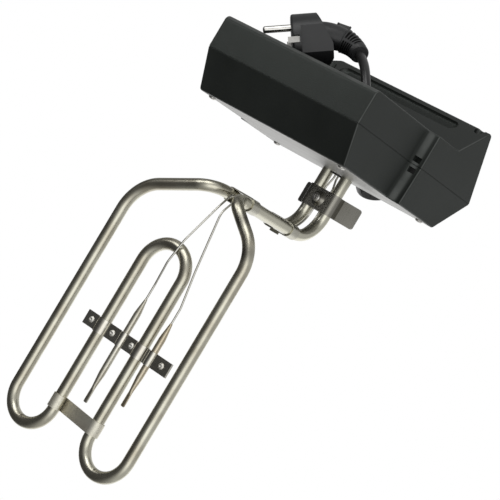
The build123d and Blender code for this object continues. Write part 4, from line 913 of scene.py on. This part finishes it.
class FRYER_OT_steelwork(bpy.types.Operator):
    """Rim bracket, neck clips, bulb bracket and strap"""

    bl_idname = "fryer.steelwork"
    bl_label = "Steelwork"

    def execute(self, context):
        strip = context.scene.fryer_colours.strip
        sideways, lengthways = (0.08, 1.0, 1.0), (1.0, 0.08, 1.0)
        dress(worked_metal("bracket_steel", strip, (0.54, 0.51, 0.44), 0.2, sideways, 700.0, oily=True),
              "bulb_bracket_lower", "bulb_bracket_upper")
        dress(worked_metal("saddle_steel", shade(strip, 0.45), (0.22, 0.21, 0.18), 0.26, lengthways, 700.0),
              "rim_saddle", "rim_bar")
        dress(worked_metal("clip_steel", (0.55, 0.54, 0.47), (0.40, 0.38, 0.32), 0.28, sideways, 700.0),
              "neck_clips")
        dress(worked_metal("strap_steel", (0.80, 0.78, 0.68), (0.66, 0.62, 0.52), 0.52, sideways, 700.0,
                           oily=True), "leg_strap")
        return {"FINISHED"}


class FRYER_OT_fasteners(bpy.types.Operator):
    """Cross-recessed screws and round rivets"""

    bl_idname = "fryer.fasteners"
    bl_label = "Screws and rivets"

    def execute(self, context):
        bright = context.scene.fryer_colours.bright
        plated = worked_metal("plated_steel", bright, shade(bright, 0.75), 0.34)
        for name, size, places, replaced, turn in (
                ("plate_screw_set", (5.4, 1.6, 2.6, 8.0), PLATE_SCREWS, "plate_screws", 0.7),
                ("ramp_screw_set", (6.8, 2.4, 3.5, 40.0), RAMP_SCREWS, "ramp_screws", 0.5),
                ("pocket_screw_set", (5.2, 1.2, 2.8, 12.0), POCKET_SCREWS, "pocket_screws", 0.9),
                ("rim_screw_set", (6.4, 1.4, 4.0, 15.0), RIM_SCREW, "rim_screw", 0.0)):
            fastener_piece(name, screw_mesh(*size), places, plated, replaced, turn)
        soft = worked_metal("rivet_steel", (0.86, 0.85, 0.80), (0.70, 0.68, 0.62), 0.5)
        fastener_piece("rivet_set", lathe("rivet", RIVET, 28), RIVETS, soft, "bracket_rivets")
        return {"FINISHED"}


class FRYER_OT_sensors(bpy.types.Operator):
    """The two sensing bulbs, their capillaries and the grommet"""

    bl_idname = "fryer.sensors"
    bl_label = "Bulbs and capillaries"

    def execute(self, context):
        for name, tip, length, colour, toned, slot, replaced in (
                ("cutout_sensor", CUTOUT_TIP, CUTOUT_LENGTH,
                 (0.62, 0.60, 0.52), (0.44, 0.41, 0.33), "bulb_steel", "cutout_bulb"),
                ("thermostat_sensor", THERMOSTAT_TIP, THERMOSTAT_LENGTH,
                 (0.60, 0.54, 0.42), (0.42, 0.35, 0.24), "bulb_brass", "thermostat_bulb")):
            metal = worked_metal(replaced + "_metal", colour, toned, 0.36, (1.0, 0.1, 1.0), 1200.0, oily=True)
            tail = [(length + along, wide, high) for along, wide, high in BULB_TAIL]
            mesh = oval_rod(name, BULB_NOSE + tail, 24, metal)
            mesh.transform(Matrix.Translation(tip))
            mesh_piece(name, mesh, "head", slot, replaced)
        dress(worked_metal("capillary_metal", (0.66, 0.65, 0.60), (0.52, 0.50, 0.44), 0.25, EVEN, 900.0),
              "cutout_capillary", "thermostat_capillary")
        dress(moulded_plastic("grommet_rubber", (0.02, 0.02, 0.02), 0.6, 1200.0, 0.1), "capillary_grommet")
        return {"FINISHED"}


class FRYER_OT_controls(bpy.types.Operator):
    """Knob with its pointer, dial print, lamps, reset button and interlock"""

    bl_idname = "fryer.controls"
    bl_label = "Controls"

    def execute(self, context):
        sizes = context.scene.fryer_sizes
        dress(moulded_plastic("knob_plastic", (0.010, 0.010, 0.010), 0.34, 1800.0, 0.08, 0.5), "control_knob")
        dress(moulded_plastic("button_plastic", (0.30, 0.02, 0.015), 0.36, 1500.0, 0.06), "reset_button")
        dress(moulded_plastic("plunger_plastic", RUBBER_BLACK, 0.42, 1500.0, 0.06), "interlock_plunger")
        dress(lamp_lens("power_lens", (0.55, 0.03, 0.02)), "power_lamp")
        dress(lamp_lens("ready_lens", (0.62, 0.22, 0.03)), "ready_lamp")
        slope = Matrix((END_OUT, PANEL_UP, PANEL_OUT)).transposed().to_4x4()
        panel = Matrix.Translation(PANEL_MIDDLE + END_OUT * KNOB_X) @ slope
        paint = moulded_plastic("dial_print", context.scene.fryer_colours.tick, 0.55, 2200.0, 0.02)
        ticks = grow("dial_ticks", bpy.data.meshes.new("dial_ticks"), "dial_ticks", Count=sizes.tick_count,
                     Radius=TICK_REACH, Length=sizes.tick_length, Width=TICK_WIDTH, Sweep=DIAL_SWEEP,
                     Material=paint)
        ticks.transform(panel)
        mesh_piece("dial_ticks", ticks, "head", "control_plastic")
        mesh_piece("knob_pointer", self.pointer(panel, paint), "knob", "knob_plastic")
        return {"FINISHED"}

    def pointer(self, panel, material):
        """Painted inlay that fills the knob's pointer groove."""
        shape = bmesh.new()
        middle = Vector((0, POINTER_OUT, KNOB_TOP - POINTER_SIZE.z))
        rounded_block(shape, POINTER_SIZE, middle, Matrix.Identity(3), radius=0.15 * MM, segments=2)
        mesh = drawn(shape, "knob_pointer", material)
        mesh.transform(panel)
        return mesh


class FRYER_OT_plug(bpy.types.Operator):
    """Plug with the sleeve on its tail, pins, earth clips, gland and tie"""

    bl_idname = "fryer.plug"
    bl_label = "Plug"

    def execute(self, context):
        bright = context.scene.fryer_colours.bright
        dress(moulded_plastic("plug_plastic", PLUG_BLACK, 0.42, 1300.0, 0.12, 0.5), "plug_body")
        mesh_piece("plug_boot", self.boot(), "head", "plug_plastic")
        dress(moulded_plastic("gland_rubber", RUBBER_BLACK, 0.55, 1500.0, 0.1), "cord_gland", "cord_tie")
        dress(worked_metal("pin_nickel", bright, shade(bright, 0.8), 0.16), "plug_pins")
        dress(worked_metal("clip_nickel", shade(bright, 0.6), shade(bright, 0.4), 0.3), "plug_earth_clips")
        return {"FINISHED"}

    def tail_place(self, share):
        """Middle, direction and radius of the plug's bent tail, from its root at 0 to the lead at 1."""
        end = FREE_RUN[-1]
        way = (FREE_RUN[-2] - end).normalized()
        points = interpolate_bezier(
            TAIL_ROOT, TAIL_ROOT - PIN_WAY * TAIL_LEAVE, end - way * TAIL_ARRIVE, end, 801)
        lengths = [0.0]
        for here, there in zip(points, points[1:]):
            lengths.append(lengths[-1] + (there - here).length)
        passed = sum(length < share * lengths[-1] for length in lengths)
        index = min(passed, len(points) - 2)
        section, part = divmod(share * (len(TAIL_RADII) - 1), 1)
        first, second = TAIL_RADII[int(section):][:2]
        ahead = (points[index + 1] - points[index - 1]).normalized()
        return points[index], ahead, (first + (second - first) * part) * MM

    def boot(self):
        """Sleeve on the tail with a ladder of slots on either side of a spine, and a raised tab before it."""
        stations = list(BOOT_START)
        for k in range(SLOT_COUNT):
            near, far = [SLOT_FIRST + SLOT_PITCH * k + side * SLOT_HALF for side in (-1, 1)]
            stations += [(near - SLOT_EDGE, BOOT_LIFT), (near + SLOT_EDGE, SLOT_LIFT),
                         (far - SLOT_EDGE, SLOT_LIFT), (far + SLOT_EDGE, BOOT_LIFT)]
        rings = []
        slot_shade = []
        for share, lift in stations + BOOT_END:
            middle, ahead, radius = self.tail_place(share)
            side = (CLIP_WAY - ahead * CLIP_WAY.dot(ahead)).normalized()
            across = ahead.cross(side)
            ring = []
            for angle in round_angles(60):
                in_slot = lift == SLOT_LIFT and abs(cos(angle)) <= SPINE_COSINE
                height = BOOT_LIFT if lift == SLOT_LIFT and not in_slot else lift
                ring.append(middle + (side * cos(angle) + across * sin(angle)) * (radius + height * MM))
                slot_shade.append(float(in_slot))
            rings.append(ring)
        shape = skin(rings)
        # Mask of the slots, read by the plastic for its painted shade
        slot = shape.verts.layers.float.new("slot")
        for vertex, depth in zip(shape.verts, slot_shade):
            vertex[slot] = depth
        self.tab(shape)
        mesh = drawn(shape, "plug_boot", self.boot_plastic())
        mesh.shade_smooth()
        mesh.set_sharp_from_angle(angle=radians(32.0))
        return mesh

    def tab(self, shape):
        """Raised tab on the outer side of the tail's bend."""
        middle, ahead, radius = self.tail_place(TAB_SPOT)
        inward = self.tail_place(TAB_SPOT + TAB_SPAN)[1] - self.tail_place(TAB_SPOT - TAB_SPAN)[1]
        outward = -(inward - ahead * inward.dot(ahead)).normalized()
        turn = Matrix((ahead, outward.cross(ahead), outward)).transposed()
        seat = middle + outward * (radius - TAB_SINK)
        rounded_block(shape, TAB_SIZE, seat, turn, radius=1.0 * MM, segments=3)

    def boot_plastic(self):
        """The plug's plastic with painted shade in the slots: darker and duller down there."""
        material = moulded_plastic("boot_plastic", PLUG_BLACK, 0.42, 1300.0, 0.12, 0.5)
        tree = material.node_tree
        deep = stored(tree, "slot")["Fac"]
        # Painted shade: darker colour and weaker reflections down in the slots
        overlay(material, deep, (0.002, 0.002, 0.002))
        feed(tree, remap(tree, deep, 0.0, 1.0, 0.5, 0.08), shader_of(material)["Specular IOR Level"])
        return material


class FRYER_OT_lead(bpy.types.Operator):
    """The mains lead: out of the gland, round its coil and out to the plug"""

    bl_idname = "fryer.lead"
    bl_label = "Lead"

    def execute(self, context):
        diameter = context.scene.fryer_sizes.cord_diameter
        start = COIL_CENTRE + Vector((-COIL_R - COIL_PITCH * COIL_TURNS, 0, 0))
        points = [GLAND_END, GLAND_END.lerp(start, 0.6)]
        for k in range(1, int(2 * COIL_TURNS * COIL_STEPS)):
            points.append(self.coil_point(k / COIL_STEPS))
        points += FREE_RUN
        curve = bpy.data.curves.new("lead", "CURVE")
        curve.dimensions = "3D"
        spline = curve.splines.new("NURBS")
        spline.points.add(len(points) - 1)
        for point, place in zip(spline.points, points):
            point.co = (*place, 1.0)
        spline.order_u = 3
        spline.use_endpoint_u = True
        curve.resolution_u = 6
        curve.bevel_depth = diameter / 2
        curve.bevel_resolution = 6
        curve.use_fill_caps = True
        lead = new_object("lead", curve)
        curve.materials.append(moulded_plastic("lead_rubber", (0.010, 0.010, 0.010), 0.3, 2400.0, 0.03))
        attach(lead, "head")
        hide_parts("mains_cord", "cord_coil")
        return {"FINISHED"}

    def coil_point(self, turn):
        """A point of the coil: in along the back layer, out along the front one."""
        radius = COIL_R + COIL_PITCH * sqrt((turn - COIL_TURNS) ** 2 + COIL_EASE)
        climb = min(max((turn - COIL_TURNS + COIL_CROSSING / 2) / COIL_CROSSING, 0), 1)
        climb = climb * climb * (3 - 2 * climb)
        angle = pi + 2 * pi * turn
        return COIL_CENTRE + Vector((radius * cos(angle), COIL_PITCH * climb, radius * sin(angle)))


class FRYER_OT_inside(bpy.types.Operator):
    """What the box hides: controls, switch, terminals and bushes"""

    bl_idname = "fryer.inside"
    bl_label = "Inside the box"

    def execute(self, context):
        lengthways = (1.0, 0.1, 1.0)
        dress(worked_metal("can_steel", (0.50, 0.50, 0.48), (0.38, 0.37, 0.34), 0.36, lengthways, 900.0),
              "thermostat_body", "cutout_body", "thermostat_shaft")
        dress(worked_metal("bush_brass", (0.52, 0.42, 0.22), (0.38, 0.29, 0.14), 0.3, lengthways, 900.0),
              "element_bushes", "terminal_pins")
        dress(moulded_plastic("bead_ceramic", (0.62, 0.60, 0.54), 0.5, 1400.0, 0.1, 0.1), "terminal_beads")
        dress(moulded_plastic("switch_plastic", (0.03, 0.03, 0.032), 0.45, 1400.0, 0.1), "interlock_switch")
        dress(moulded_plastic("block_plastic", (0.42, 0.40, 0.35), 0.5, 1400.0, 0.1), "terminal_block")
        return {"FINISHED"}


class FRYER_PT_pieces(bpy.types.Panel):
    """The head's pieces, sizes and colours"""

    bl_idname = "FRYER_PT_pieces"
    bl_label = "Fryer heating head"
    bl_space_type = "VIEW_3D"
    bl_region_type = "UI"
    bl_category = "Fryer head"

    def draw(self, context):
        for group in (context.scene.fryer_sizes, context.scene.fryer_colours):
            box = self.layout.box()
            for name in group.__annotations__:
                box.prop(group, name)
        for operator in OPERATORS:
            self.layout.operator(operator.bl_idname)


OPERATORS = (
    FRYER_OT_stage, FRYER_OT_effects, FRYER_OT_box, FRYER_OT_element, FRYER_OT_steelwork,
    FRYER_OT_fasteners, FRYER_OT_sensors, FRYER_OT_controls, FRYER_OT_plug, FRYER_OT_lead,
    FRYER_OT_inside)
CLASSES = (HeadSizes, HeadColours) + OPERATORS + (FRYER_PT_pieces,)


def register():
    """Add the classes and their scene properties."""
    for item in CLASSES:
        bpy.utils.register_class(item)
    bpy.types.Scene.fryer_sizes = PointerProperty(type=HeadSizes)
    bpy.types.Scene.fryer_colours = PointerProperty(type=HeadColours)


def unregister():
    """Take them away again."""
    del bpy.types.Scene.fryer_colours
    del bpy.types.Scene.fryer_sizes
    for item in reversed(CLASSES):
        bpy.utils.unregister_class(item)


def main():
    """Run the operators in order."""
    register()
    for operator in OPERATORS:
        group, name = operator.bl_idname.split(".")
        getattr(getattr(bpy.ops, group), name)()


if __name__ == "__main__":
    main()
